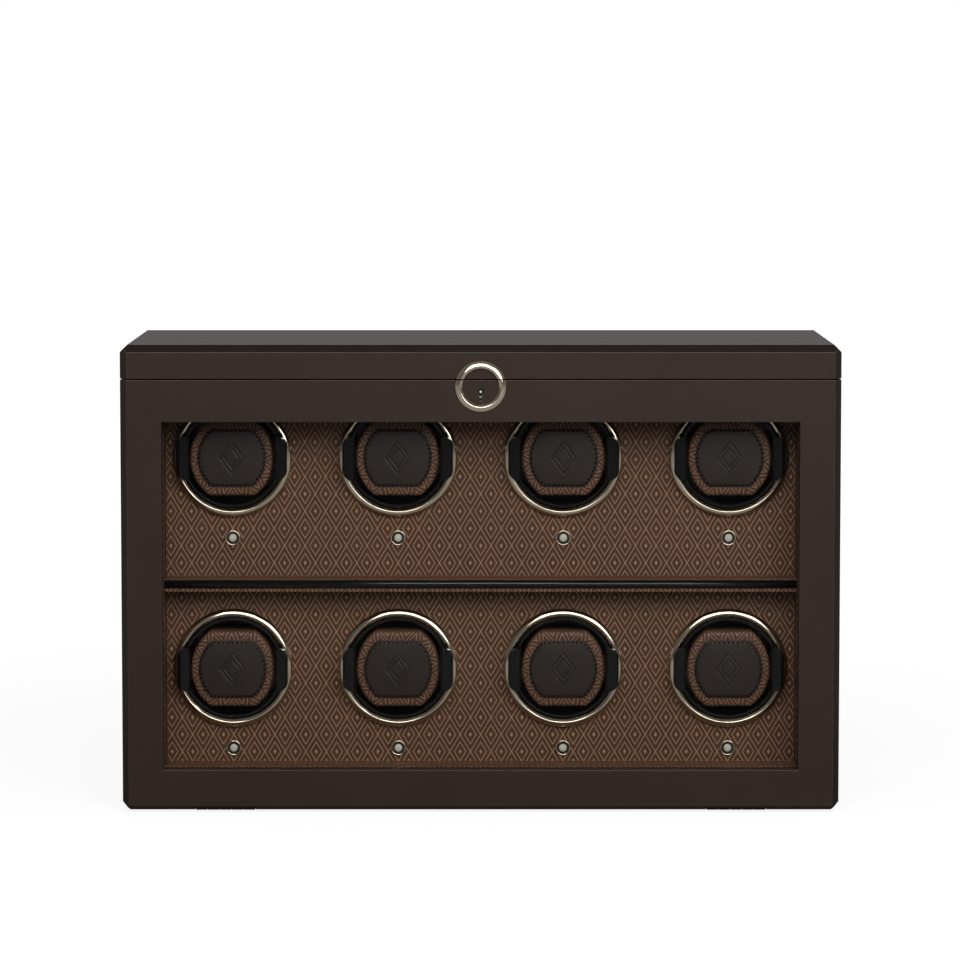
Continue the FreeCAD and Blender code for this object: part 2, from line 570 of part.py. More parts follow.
# Lock: a case in the top rail, a keyhole through the rail's front, a turning plug with a hook behind it,
# and a staple that hangs from the lid
lock_low = DOOR_TOP - LOCK_LOW_EDGE
lock_top = DOOR_TOP - LOCK_TOP
tongue_x = STAPLE_T / 2 + STAPLE_FIT
tongue_front = HOOK_Y + HOOK_T / 2 - STAPLE_W / 2 - STAPLE_FIT
tongue_low = LOCK_Z + SPINDLE_R
tongue_room = box(-tongue_x, tongue_x, tongue_front, DOOR_REAR + OVER, tongue_low, DOOR_TOP + OVER)
mortise = box(-LOCK_W / 2, LOCK_W / 2, LOCK_FRONT, DOOR_REAR + OVER, lock_low, lock_top)
skin_y = FRONT + KEY_SKIN
key_end = skin_y + KEY_DEEP
keyhole = rod(KEY_R, FRONT - OVER, skin_y + OVER, 0, LOCK_Z)
keyhole = keyhole.fuse(prism([(-KEY_NECK / 2, FRONT - OVER, LOCK_Z), (KEY_NECK / 2, FRONT - OVER, LOCK_Z),
                              (KEY_FOOT / 2, FRONT - OVER, LOCK_Z - KEY_DROP),
                              (-KEY_FOOT / 2, FRONT - OVER, LOCK_Z - KEY_DROP)], (0, KEY_SKIN + 2 * OVER, 0)))
door = door.cut(mortise).cut(tongue_room).cut(keyhole)
door = door.cut(rod(PLUG_R + PLUG_FIT, skin_y, LOCK_FRONT + OVER, 0, LOCK_Z))
save("door_frame", door)
case = box(-LOCK_W / 2, LOCK_W / 2, LOCK_FRONT, LOCK_BACK, lock_low, lock_top)
hook_room = HOOK_OUT_R + HOOK_GAP
case = case.cut(rod(hook_room, HOOK_Y - HOOK_GAP, HOOK_Y + HOOK_T + HOOK_GAP, 0, LOCK_Z))
case = case.cut(rod(SPINDLE_R + RUN_FIT, LOCK_FRONT - OVER, LOCK_BACK - LOCK_WALL, 0, LOCK_Z)).cut(tongue_room)
save("lock_case", case)
plug = rod(PLUG_R, skin_y + PLUG_FIT, LOCK_FRONT, 0, LOCK_Z)
keyway = rod(KEY_R, skin_y, key_end, 0, LOCK_Z)
keyway = keyway.fuse(box(-KEY_NECK / 2, KEY_NECK / 2, skin_y, key_end, LOCK_Z - PLUG_R, LOCK_Z))
pin = rod(KEY_PIN_R, FRONT + KEY_PIN_BACK, key_end, 0, LOCK_Z)
plug = plug.cut(keyway).fuse(pin)
spindle = rod(SPINDLE_R, LOCK_FRONT, HOOK_Y + HOOK_T + HOOK_GAP, 0, LOCK_Z)


def spot(r, angle):
    """A point of the hook, by radius and by angle up from +X, in the hook's plane."""
    a = math.radians(angle)
    return V(r * math.cos(a), HOOK_Y, LOCK_Z + r * math.sin(a))


a0, a1 = HOOK_START, HOOK_START + HOOK_SWEEP
hook = Part.Wire([
    Part.Arc(spot(HOOK_OUT_R, a0), spot(HOOK_OUT_R, (a0 + a1) / 2), spot(HOOK_OUT_R, a1)).toShape(),
    Part.LineSegment(spot(HOOK_OUT_R, a1), spot(HOOK_IN_R, a1)).toShape(),
    Part.Arc(spot(HOOK_IN_R, a1), spot(HOOK_IN_R, (a0 + a1) / 2), spot(HOOK_IN_R, a0)).toShape(),
    Part.LineSegment(spot(HOOK_IN_R, a0), spot(HOOK_OUT_R, a0)).toShape()])
hook = Part.Face(hook).extrude(V(0, HOOK_T, 0))
web_h = HOOK_OUT_R - HOOK_IN_R
web = box(0, (HOOK_IN_R + HOOK_OUT_R) / 2, HOOK_Y, HOOK_Y + HOOK_T, -web_h / 2, web_h / 2)
web.rotate(V(0, 0, 0), V(0, 1, 0), -(a1 - math.degrees(web_h / 2 / HOOK_OUT_R)))
web.translate(V(0, 0, LOCK_Z))
save("lock_hook", plug.fuse(spindle).fuse(hook).fuse(web).removeSplitter())
staple_y = HOOK_Y + HOOK_T / 2
staple_low = tongue_low + STAPLE_FIT
staple = box(-STAPLE_T / 2, STAPLE_T / 2, staple_y - STAPLE_W / 2, staple_y + STAPLE_W / 2, staple_low,
             LID_Z + STAPLE_PLATE_T)
eye_y = HOOK_T / 2 + HOOK_GAP
staple = staple.cut(box(-STAPLE_T, STAPLE_T, staple_y - eye_y, staple_y + eye_y,
                        LOCK_Z + HOOK_IN_R - HOOK_GAP, LOCK_Z + HOOK_OUT_R + HOOK_GAP))
plate = box(-STAPLE_PLATE / 2, STAPLE_PLATE / 2, staple_y - STAPLE_W / 2, staple_y + STAPLE_W / 2, LID_Z,
            LID_Z + STAPLE_PLATE_T)
save("lid_staple", staple.fuse(plate).removeSplitter())

# Lock ring: a band that rises to a crown near its bore, parted where the seam crosses it
ring_z = DOOR_TOP - LOCK_RING_LOW
top_y = FRONT - LOCK_RING_PROUD
edge_y = FRONT - LOCK_RING_LIP / 2
band = turned([
    line((LOCK_RING_BORE, FRONT), (LOCK_RING_BORE, top_y + LOCK_RING_LIP)),
    line((LOCK_RING_BORE, top_y + LOCK_RING_LIP), (LOCK_RING_CROWN_R, top_y)),
    arc((LOCK_RING_CROWN_R, top_y), ((LOCK_RING_CROWN_R + LOCK_RING_R) / 2, top_y + LOCK_RING_PROUD * 0.22),
        (LOCK_RING_R, edge_y)),
    line((LOCK_RING_R, edge_y), (LOCK_RING_R, FRONT)),
    line((LOCK_RING_R, FRONT), (LOCK_RING_BORE, FRONT))])
band.translate(V(0, 0, ring_z))
reach_x = LOCK_RING_R + OVER
save("lock_ring_lower", band.common(box(-reach_x, reach_x, FRONT - DOOR_T, FRONT, 0, DOOR_TOP)))
save("lock_ring_upper", band.common(box(-reach_x, reach_x, FRONT - DOOR_T, FRONT, LID_Z, CASE_H)))

# Lid: a top board on four rim boards, butted, which leave a recess for a lining and seat on the sides and back
lid = box(-HALF_W, HALF_W, FRONT, REAR, LID_Z, CASE_H).common(skin)
lid = lid.cut(lid_mortise(LID_Z - OVER, LID_Z + LID_LEAF_T)).cut(plate)
recess_x = HALF_W - LID_RIM
recess_top = LID_Z + LID_RECESS
boards = [box(-HALF_W, HALF_W, FRONT, REAR, recess_top, CASE_H),
          box(-HALF_W, HALF_W, FRONT, FRONT + LID_RIM, LID_Z, recess_top),
          box(-HALF_W, HALF_W, REAR - LID_RIM, REAR, LID_Z, recess_top),
          box(-HALF_W, -recess_x, FRONT + LID_RIM, REAR - LID_RIM, LID_Z, recess_top),
          box(recess_x, HALF_W, FRONT + LID_RIM, REAR - LID_RIM, LID_Z, recess_top)]
save("lid_board", *[lid.common(board) for board in boards])
lining_x = recess_x - LINING_FIT
save("lid_lining", box(-lining_x, lining_x, FRONT + LID_RIM + LINING_FIT, REAR - LID_RIM - LINING_FIT,
                       LID_Z + LID_RECESS - LINING_T, LID_Z + LID_RECESS))
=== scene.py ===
import json
import math

import bmesh
import bpy
import numpy as np
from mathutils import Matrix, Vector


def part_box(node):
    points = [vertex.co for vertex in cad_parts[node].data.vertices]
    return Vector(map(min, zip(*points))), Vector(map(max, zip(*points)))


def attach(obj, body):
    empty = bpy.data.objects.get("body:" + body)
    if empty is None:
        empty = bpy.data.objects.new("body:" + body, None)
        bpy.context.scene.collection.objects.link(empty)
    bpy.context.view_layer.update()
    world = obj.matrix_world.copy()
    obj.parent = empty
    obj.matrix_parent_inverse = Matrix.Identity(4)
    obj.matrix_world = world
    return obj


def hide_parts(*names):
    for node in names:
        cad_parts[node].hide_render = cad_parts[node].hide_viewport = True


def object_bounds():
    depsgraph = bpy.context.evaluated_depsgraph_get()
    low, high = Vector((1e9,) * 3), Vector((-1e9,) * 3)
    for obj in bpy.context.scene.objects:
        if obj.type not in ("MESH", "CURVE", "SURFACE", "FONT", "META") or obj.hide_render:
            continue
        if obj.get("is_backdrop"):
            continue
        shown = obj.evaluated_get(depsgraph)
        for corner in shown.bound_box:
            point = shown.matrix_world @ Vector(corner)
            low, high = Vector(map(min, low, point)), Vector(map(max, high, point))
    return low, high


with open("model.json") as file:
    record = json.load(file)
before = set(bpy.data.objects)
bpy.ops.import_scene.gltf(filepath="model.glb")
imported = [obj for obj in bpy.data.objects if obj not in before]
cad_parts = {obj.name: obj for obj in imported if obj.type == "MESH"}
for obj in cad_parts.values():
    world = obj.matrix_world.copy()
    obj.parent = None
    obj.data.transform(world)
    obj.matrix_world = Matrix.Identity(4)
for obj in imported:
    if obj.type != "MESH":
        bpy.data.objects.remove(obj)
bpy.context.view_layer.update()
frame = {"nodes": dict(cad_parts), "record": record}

# ---------------------------------------------------------------------------------------------------
# Case boards. The base, the two sides and the back are fibreboard, butted and glued, and then wrapped in
# one thin, smooth, dark brown calf leather, which rounds every edge by its own thickness.

MM = 0.001
LEATHER_T = 1.1
EDGE_STEPS = 3
nodes = frame["nodes"]
body_of = {n: b for b, members in frame["record"]["behaviour"]["bodies"].items() for n in members}


def colour(code):
    """The linear colour of an sRGB hex code, with full alpha."""
    tone = np.array([int(code[i:i + 2], 16) / 255 for i in (1, 3, 5)])
    return [*np.where(tone <= 0.04045, tone / 12.92, ((tone + 0.055) / 1.055) ** 2.4), 1.0]


def add(mat, kind, sockets, **settings):
    """Adds a node to a material: settings are the node's own, sockets are values or links by name or number."""
    node = mat.node_tree.nodes.new(kind)
    for key, value in settings.items():
        setattr(node, key, value)
    for key, value in sockets.items():
        if isinstance(value, bpy.types.NodeSocket):
            mat.node_tree.links.new(value, node.inputs[key])
        else:
            node.inputs[key].default_value = value
    return node


def material(name):
    """An empty material and its output node."""
    mat = bpy.data.materials.new(name)
    mat.use_nodes = True
    mat.node_tree.nodes.clear()
    return mat, mat.node_tree.nodes.new("ShaderNodeOutputMaterial")


def finish(mat, out, sockets):
    """Ends a material in one Principled shader."""
    skin = add(mat, "ShaderNodeBsdfPrincipled", sockets)
    mat.node_tree.links.new(skin.outputs["BSDF"], out.inputs["Surface"])
    return mat


def mottled(mat, place, size, low, high, detail=3.0):
    """Noise of a size in millimetres, spread between two values or two colours."""
    noise = add(mat, "ShaderNodeTexNoise", {"Vector": place, "Scale": 1 / (size * MM), "Detail": detail})
    if isinstance(low, str):
        mix = add(mat, "ShaderNodeMix", {0: noise.outputs["Fac"], 6: colour(low), 7: colour(high)}, data_type="RGBA")
        return mix.outputs[2]
    span = add(mat, "ShaderNodeMapRange", {"Value": noise.outputs["Fac"], "From Min": 0.3, "From Max": 0.7,
                                           "To Min": low, "To Max": high})
    return span.outputs["Result"]


def grained(mat, place, size, depth, strength):
    """Bump of a leather's pores: rounded cells of a size, sunk by a depth, both in millimetres."""
    cells = add(mat, "ShaderNodeTexVoronoi", {"Vector": place, "Scale": 1 / (size * MM)}, feature="SMOOTH_F1")
    bump = add(mat, "ShaderNodeBump", {"Height": cells.outputs["Distance"], "Distance": depth * MM,
                                       "Strength": strength}, invert=True)
    return bump.outputs["Normal"]


def maths(mat, operation, *values):
    """The result of one operation on values or links."""
    return add(mat, "ShaderNodeMath", dict(enumerate(values)), operation=operation).outputs[0]


# Pressed calf leather, aniline dyed and waxed: nearly black brown, with a low even sheen. Where it turns over a slanted
# edge, which is where no axis of the normal passes 0.85, it is painted darker as painted shade. Its pores are drawn at
# 1.4 mm, coarser than the real 0.3 mm, so that they show at all.
calf_leather, out = material("pressed_calf_leather")
where = add(calf_leather, "ShaderNodeTexCoord", {})
sides = [maths(calf_leather, "ABSOLUTE", n)
         for n in add(calf_leather, "ShaderNodeSeparateXYZ", {0: where.outputs["Normal"]}).outputs]
squarest = maths(calf_leather, "MAXIMUM", maths(calf_leather, "MAXIMUM", *sides[:2]), sides[2])
tone = mottled(calf_leather, where.outputs["Object"], 60, "#291e19", "#32261f")
painted_chamfer_shade = mottled(calf_leather, where.outputs["Object"], 20, "#1a110b", "#21160f")
finish(calf_leather, out, {
    "Base Color": add(calf_leather, "ShaderNodeMix", {0: maths(calf_leather, "LESS_THAN", squarest, 0.85), 6: tone,
                                                      7: painted_chamfer_shade}, data_type="RGBA").outputs[2],
    "Roughness": mottled(calf_leather, where.outputs["Object"], 9, 0.455, 0.485),
    "Normal": grained(calf_leather, where.outputs["Object"], 1.4, 0.05, 0.2),
    "Specular IOR Level": 0.18})

# The same calf on the rounded edges, with painted highlight and painted shade: the more an edge looks up, the paler it
# is painted, so that it shows as a fine line of painted highlight. An upright edge is hardly paler than the skin, and
# one that looks down is painted dark as painted shade.
painted_highlight_calf, out = material("painted_highlight_calf_edge")
where = add(painted_highlight_calf, "ShaderNodeTexCoord", {})
_, _, looks_up = add(painted_highlight_calf, "ShaderNodeSeparateXYZ", {0: where.outputs["Normal"]}).outputs
painted_highlight_mask = add(painted_highlight_calf, "ShaderNodeMapRange",
             {"Value": looks_up, "From Min": -0.3, "From Max": 0.9}).outputs["Result"]
painted_shade_edge = mottled(painted_highlight_calf, where.outputs["Object"], 20, "#0b0705", "#120c09")
pale = mottled(painted_highlight_calf, where.outputs["Object"], 25, "#6a5e56", "#7e7269")
finish(painted_highlight_calf, out, {
    "Base Color": add(painted_highlight_calf, "ShaderNodeMix", {0: painted_highlight_mask, 6: painted_shade_edge, 7: pale}, data_type="RGBA").outputs[2],
    "Roughness": mottled(painted_highlight_calf, where.outputs["Object"], 6, 0.32, 0.42),
    "Normal": grained(painted_highlight_calf, where.outputs["Object"], 1.4, 0.03, 0.15),
    "Specular IOR Level": 0.3})


def wrapped(node, mat, radius, edge_mat=None, prepare=None):
    """A copy of a cut piece: its triangles merged into flat faces, and its edges rounded to a radius and, where
    edge_mat is given, finished in it. prepare changes the faces first."""
    mesh = nodes[node].data.copy()
    shell = bmesh.new()
    shell.from_mesh(mesh)
    if prepare:
        prepare(shell)
    bmesh.ops.remove_doubles(shell, verts=shell.verts, dist=0.002 * MM)
    bmesh.ops.recalc_face_normals(shell, faces=shell.faces)
    bmesh.ops.dissolve_limit(shell, angle_limit=math.radians(0.5), verts=shell.verts, edges=shell.edges)
    shell.to_mesh(mesh)
    shell.free()
    if "custom_normal" in mesh.attributes:
        mesh.attributes.remove(mesh.attributes["custom_normal"])
    mesh.materials.clear()
    mesh.materials.append(mat)
    mesh.polygons.foreach_set("material_index", np.zeros(len(mesh.polygons), int))
    mesh.shade_smooth()
    obj = bpy.data.objects.new("wrapped_" + node, mesh)
    bpy.context.collection.objects.link(obj)
    edge = obj.modifiers.new("rounded_edges", "BEVEL")
    edge.width, edge.segments, edge.limit_method = radius * MM, EDGE_STEPS, "ANGLE"
    edge.angle_limit, edge.harden_normals = math.radians(28), True
    if edge_mat:
        mesh.materials.append(edge_mat)
        edge.material = 1
    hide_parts(node)
    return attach(obj, body_of[node])


# Their rounded edges take the calf with painted highlight and painted shade.
for board in ("base_board", "left_side", "right_side", "back_panel"):
    wrapped(board, calf_leather, LEATHER_T, painted_highlight_calf)

# ---------------------------------------------------------------------------------------------------
# Felt sheet. It is cut a little smaller than the base and glued under it, so that the box doesn't mark a
# table.


def dress(node, mat):
    """Gives a CAD node its finish."""
    nodes[node].data.materials.clear()
    nodes[node].data.materials.append(mat)


# Pressed wool felt: matt, with a nap of short fibres about 0.6 mm across that catches light at the edge.
wool_felt, out = material("pressed_wool_felt")
place = add(wool_felt, "ShaderNodeTexCoord", {}).outputs["Object"]
finish(wool_felt, out, {
    "Base Color": mottled(wool_felt, place, 0.6, "#1d1612", "#33281f", 6.0),
    "Roughness": 0.95,
    "Normal": grained(wool_felt, place, 0.8, 0.2, 0.6),
    "Sheen Weight": 0.4})
dress("base_pad", wool_felt)

# ---------------------------------------------------------------------------------------------------
# Power inlet. A moulded nylon socket with a turned flange, pushed into the back from outside.

# Moulded black nylon: a fine spark-eroded texture, about 0.7 mm, that takes the shine off.
black_nylon, out = material("moulded_black_nylon")
place = add(black_nylon, "ShaderNodeTexCoord", {}).outputs["Object"]
finish(black_nylon, out, {
    "Base Color": mottled(black_nylon, place, 5, "#0d0d0d", "#161616"),
    "Roughness": mottled(black_nylon, place, 0.7, 0.45, 0.6),
    "Normal": grained(black_nylon, place, 0.7, 0.03, 0.3)})
dress("power_inlet", black_nylon)

# ---------------------------------------------------------------------------------------------------
# Lined boards: the deck under the lid, the two panels that carry the drums, and the liners in front of them,
# level with the window's sides and foot. They are faced with a brown leather printed with a tan trellis.

LOZENGE_W = 15.5
LOZENGE_H = 26.0
PRINT_LINE = 0.52


def trellis(mat, across, up):
    """Where the print lies: 1 on a line and 0 beside it, at a place across and up, in metres.

    Two slanted counts, across/W + up/H and across/W - up/H, part the leather into lozenges. The larger of a
    point's two distances from its lozenge's middle is 0.5 on the trellis and less on the lozenges inside.
    """
    s = maths(mat, "DIVIDE", across, LOZENGE_W * MM)
    t = maths(mat, "DIVIDE", up, LOZENGE_H * MM)
    spread = []
    for slant in ("ADD", "SUBTRACT"):
        count = maths(mat, "FRACT", maths(mat, slant, s, t))
        spread.append(maths(mat, "ABSOLUTE", maths(mat, "SUBTRACT", count, 0.5)))
    out_by = maths(mat, "MAXIMUM", *spread)
    line = PRINT_LINE / 2 * math.hypot(1 / LOZENGE_W, 1 / LOZENGE_H)
    lines = [maths(mat, "COMPARE", out_by, ring, line) for ring in (0.5, 0.28)]
    return maths(mat, "MAXIMUM", maths(mat, "MAXIMUM", *lines), maths(mat, "LESS_THAN", out_by, 0.07))


def printed(mat, out, place, mask, ground, ink):
    """Leather with a print: ground and ink are pairs of colours that the dye wanders between."""
    dyed = mottled(mat, place, 25, *ground)
    inked = mottled(mat, place, 6, *ink)
    mix = add(mat, "ShaderNodeMix", {0: mask, 6: dyed, 7: inked}, data_type="RGBA")
    pores = grained(mat, place, 1.1, 0.04, 0.15)
    raised = add(mat, "ShaderNodeBump", {"Height": mask, "Distance": 0.06 * MM, "Strength": 0.4, "Normal": pores})
    return finish(mat, out, {
        "Base Color": mix.outputs[2],
        "Roughness": mottled(mat, place, 4, 0.45, 0.6),
        "Normal": raised.outputs["Normal"],
        "Specular IOR Level": 0.3})


# Printed lining leather: warm mid brown, matt, with tan lines a little proud of it. On a level face the print runs back
# along Y, and faces that look sideways are left plain as painted shade, so that they read darker like shaded reveals.
lining_leather, out = material("printed_lining_leather")
where = add(lining_leather, "ShaderNodeTexCoord", {})
x, y, z = add(lining_leather, "ShaderNodeSeparateXYZ", {0: where.outputs["Object"]}).outputs
nx, _, nz = add(lining_leather, "ShaderNodeSeparateXYZ", {0: where.outputs["Normal"]}).outputs
print_mask_without_shade_sides = maths(lining_leather, "LESS_THAN", maths(lining_leather, "ABSOLUTE", nx), 0.6)
level = maths(lining_leather, "GREATER_THAN", maths(lining_leather, "ABSOLUTE", nz), 0.6)
up = add(lining_leather, "ShaderNodeMix", {0: level, 2: z, 3: y}).outputs[0]
printed(lining_leather, out, where.outputs["Object"],
        maths(lining_leather, "MULTIPLY", trellis(lining_leather, x, up), print_mask_without_shade_sides),
        ("#402517", "#4f2f1c"), ("#957250", "#ab8764"))
for board in ("upper_panel", "lower_panel", "top_deck", "bay_liners"):
    dress(board, lining_leather)

# ---------------------------------------------------------------------------------------------------
# Shelf between the rows. A lined board slid in between the panels, with a polished black bead glued into a
# groove along its front edge.

BEAD_SIDES = 40
BEAD_END = 0.6

wrapped("divider_shelf", lining_leather, LEATHER_T)


def quads(rows, columns, wrap_rows, wrap_columns):
    """Corner numbers of the quads of a grid of points; a wrapped side joins its last line to its first."""
    r, c = np.meshgrid(np.arange(rows - (not wrap_rows)), np.arange(columns - (not wrap_columns)), indexing="ij")
    r2, c2 = (r + 1) % rows, (c + 1) % columns
    return np.stack([r * columns + c, r * columns + c2, r2 * columns + c2, r2 * columns + c], -1).reshape(-1, 4)


def piece(name, points, faces, mats, body, stands_for, uv=None, which=None):
    """A new smooth piece from points in millimetres. uv is per point, and which is each face's finish."""
    mesh = bpy.data.meshes.new(name)
    mesh.from_pydata((points * MM).tolist(), [], [list(map(int, f)) for f in faces])
    for mat in mats:
        mesh.materials.append(mat)
    if which is not None:
        mesh.polygons.foreach_set("material_index", which)
    if uv is not None:
        corner = np.zeros(len(mesh.loops), int)
        mesh.loops.foreach_get("vertex_index", corner)
        mesh.uv_layers.new(name="length").data.foreach_set("uv", (uv * MM)[corner].ravel())
    shell = bmesh.new()
    shell.from_mesh(mesh)
    bmesh.ops.remove_doubles(shell, verts=shell.verts, dist=0.001 * MM)
    bmesh.ops.recalc_face_normals(shell, faces=shell.faces)
    shell.to_mesh(mesh)
    shell.free()
    mesh.shade_smooth()
    mesh.set_sharp_from_angle(angle=math.radians(65))
    obj = bpy.data.objects.new(name, mesh)
    bpy.context.collection.objects.link(obj)
    if stands_for:
        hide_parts(*stands_for)
    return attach(obj, body)


def box_of(node):
    """A CAD node's lowest and highest corners, in millimetres."""
    low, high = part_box(node)
    return np.array(low) / MM, np.array(high) / MM


def middle_of(node):
    """The middle of a CAD node's box, in millimetres."""
    return sum(box_of(node)) / 2


# Polished black acrylic and ABS: jet black under a hard clear gloss, with a faint ripple, 7 mm wide, left by
# the mould.
black_gloss, out = material("polished_black_moulding")
place = add(black_gloss, "ShaderNodeTexCoord", {}).outputs["Object"]
ripple = add(black_gloss, "ShaderNodeTexNoise", {"Vector": place, "Scale": 1 / (7 * MM), "Detail": 1.0})
finish(black_gloss, out, {
    "Base Color": mottled(black_gloss, place, 12, "#060505", "#0d0b0a"),
    "Roughness": mottled(black_gloss, place, 15, 0.1, 0.18),
    "Normal": add(black_gloss, "ShaderNodeBump", {"Height": ripple.outputs["Fac"], "Distance": 0.02 * MM,
                                                  "Strength": 0.08}).outputs["Normal"],
    "Specular IOR Level": 0.3,
    "IOR": 1.49})
low, high = box_of("divider_bead")
bead_r, bead_mid = (high[2] - low[2]) / 2, (low + high) / 2
turn = np.linspace(0, 2 * np.pi, BEAD_SIDES, endpoint=False)
along = np.array([low[0], low[0], low[0] + BEAD_END, high[0] - BEAD_END, high[0], high[0]])
girth = np.array([0.001, bead_r - BEAD_END, bead_r, bead_r, bead_r - BEAD_END, 0.001])
bead = np.stack([np.broadcast_to(along[:, None], (len(along), BEAD_SIDES)),
                 bead_mid[1] + girth[:, None] * np.cos(turn), bead_mid[2] + girth[:, None] * np.sin(turn)], -1)
piece("shelf_bead", bead.reshape(-1, 3), quads(len(along), BEAD_SIDES, False, True), [black_gloss], "case",
      ["divider_bead"])

# ---------------------------------------------------------------------------------------------------
# Trim rings. Turned brass, polished and plated in a pale gold: a band that leaves its crown level and rounds
# off outward, and a narrow lip that falls to the bore. A spigot behind each ring presses into the panel.

RING_CROWN_R = 40.4
RING_BORE_R = 38.8
RING_LIP = 1.5
RING_EDGE = 3.0
SPIGOT_R = 40.2
RING_ROUND = 0.35
RING_SIDES = 128
DRUMS = range(1, 9)


def rounded(corners, radius, steps=5):
    """A closed run of straight lines, with each corner rounded by a parabola that begins and ends at a radius
    from the corner, or at just under half of a shorter line."""
    p = np.array(corners, float)
    back, on = np.roll(p, 1, 0) - p, np.roll(p, -1, 0) - p
    back_l, on_l = np.linalg.norm(back, axis=1)[:, None], np.linalg.norm(on, axis=1)[:, None]
    start = p + back / back_l * np.minimum(radius, back_l * 0.45)
    end = p + on / on_l * np.minimum(radius, on_l * 0.45)
    t = np.linspace(0, 1, steps)[:, None]
    curve = (1 - t) ** 2 * start[:, None] + 2 * t * (1 - t) * p[:, None] + t ** 2 * end[:, None]
    return curve.reshape(-1, 2)


def lathe(profile, centres, count, closed=True):
    """A (radius, y) profile turned about the Y axis through each centre: x = r cos a and z = r sin a."""
    a = np.linspace(0, 2 * np.pi, count, endpoint=False)
    r, y = profile[:, :1], profile[:, 1:]
    ring = np.stack([r * np.cos(a), y + 0 * a, r * np.sin(a)], -1).reshape(-1, 3)
    points = (np.array(centres)[:, None] * [1, 0, 1] + ring).reshape(-1, 3)
    faces = quads(len(r), count, closed, True)
    return points, (faces + np.arange(len(centres))[:, None, None] * len(ring)).reshape(-1, 4)


# Champagne gold plate: bright and a little green in the shade, polished, with faint turning marks that
# vary its gloss.
gold_plate, out = material("polished_champagne_gold_plate")
place = add(gold_plate, "ShaderNodeTexCoord", {}).outputs["Object"]
finish(gold_plate, out, {
    "Base Color": mottled(gold_plate, place, 30, "#d8cab0", "#e2d5bc"),
    "Metallic": 1.0,
    "Roughness": mottled(gold_plate, place, 3, 0.08, 0.14)})
drum_mid = np.array([middle_of("winding_drum_%d" % k) for k in DRUMS])
low, high = box_of("trim_rings")
panel_y = box_of("upper_panel")[0][1]
ring_r = high[0] - drum_mid[:, 0].max()
ring_face, ring_back = low[1], high[1]
band_w, band_drop = ring_r - RING_CROWN_R, panel_y - ring_face - RING_EDGE
sweep_r = (band_w ** 2 + band_drop ** 2) / (2 * band_drop)
sweep = np.linspace(0.12, 0.95, 9) * math.atan2(band_w, sweep_r - band_drop)
band = np.stack([RING_CROWN_R + sweep_r * np.sin(sweep), ring_face + sweep_r * (1 - np.cos(sweep))], -1)
ring_profile = rounded(np.concatenate([
    [(RING_BORE_R, ring_back), (RING_BORE_R, ring_face + RING_LIP)], band,
    [(ring_r, panel_y - RING_EDGE), (ring_r, panel_y), (SPIGOT_R, panel_y), (SPIGOT_R, ring_back)]]), RING_ROUND)
points, faces = lathe(ring_profile, drum_mid, RING_SIDES)
piece("gold_trim_rings", points, faces, [gold_plate], "case", ["trim_rings"])

# ---------------------------------------------------------------------------------------------------
# Winding drums. Each is one polished black moulding, a deep cup on a shaft with two cheeks that come forward
# over the ring and grip the cuff.

DRUM_ROUND = 1.2

for k in DRUMS:
    wrapped("winding_drum_%d" % k, black_gloss, DRUM_ROUND)

# ---------------------------------------------------------------------------------------------------
# Watch cuffs. Each is a sprung block wrapped in the printed leather, with a thin pad of dark calf sewn to its
# face. The pad is turned in at its edge, so that a low welt stands outside the row of stitches.

CUFF_W = 62.7
CUFF_H = 56.7
CUFF_FLAT = 34.0
CUFF_ROUND = 5.0
CUFF_ROUND_DEEP = 3.0
CUFF_SQUARE = 0.7
CUFF_CAP = 9.0
CUFF_SIDES = 120
PAD_W = 51.0
PAD_H = 43.0
PAD_FLAT = 31.4
PAD_EDGE = 0.9
PAD_ROUND = 1.1
PAD_ROUND_IN = 1.6
PAD_SWELL = 1.0
PAD_RIM = 4.0
PAD_SIDES = 168
PRESS_W = 9.0
PRESS_H = 12.0
PRESS_DEEP = 0.45
PRESS_LINE = 0.07
PRESS_RINGS = (1.0, 0.62)
SEAM_IN = 1.5
SEAM_DEEP = 0.15
SEAM_WIDE = 0.5
STITCHES = 44
STITCH_L = 1.8
STITCH_R = 0.7
STITCH_SIDES = 6


def outline(width, height, flat, shrink, count):
    """Evenly spaced (x, z) points round a cuff, from the middle of its foot and back to it.

    The foot and the top are flat, and each side is the arc through the ends of the flats and the widest point.
    """
    w, h = width / 2 - shrink, height / 2 - shrink
    f = flat / 2 * (1 - 2 * shrink / width)
    centre = (w * w - f * f - h * h) / (2 * (w - f))
    half = math.atan2(h, f - centre)
    a = np.linspace(-half, half, 100)
    side = np.stack([centre + (w - centre) * np.cos(a), (w - centre) * np.sin(a)], -1)
    run = np.concatenate([[[0, -h]], side, -side, [[0, -h]]])
    length = np.concatenate([[0], np.cumsum(np.linalg.norm(np.diff(run, axis=0), axis=1))])
    at = np.linspace(0, length[-1], count + 1)
    return np.stack([np.interp(at, length, run[:, 0]), np.interp(at, length, run[:, 1])], -1), at


def stacked(rows, width, height, flat, count):
    """A closed form from (shrink, y) rows of an outline, with its ends capped, and lengths along it as uv."""
    runs = [outline(width, height, flat, s, count)[0] for s, y in rows]
    points = np.stack([np.insert(run, 1, y, axis=1) for run, (s, y) in zip(runs, rows)])
    step = np.linalg.norm(np.diff(np.array(rows), axis=0), axis=1)
    down = np.concatenate([[0], np.cumsum(step)])
    round_by = outline(width, height, flat, 0, count)[1]
    uv = np.stack(np.broadcast_arrays(round_by[None, :], down[:, None]), -1)
    faces = [list(f) for f in quads(len(rows), count + 1, False, False)]
    faces.append(list(range(count)))
    faces.append(list(range((len(rows) - 1) * (count + 1), len(rows) * (count + 1) - 1)))
    return points.reshape(-1, 3), faces, uv.reshape(-1, 2)


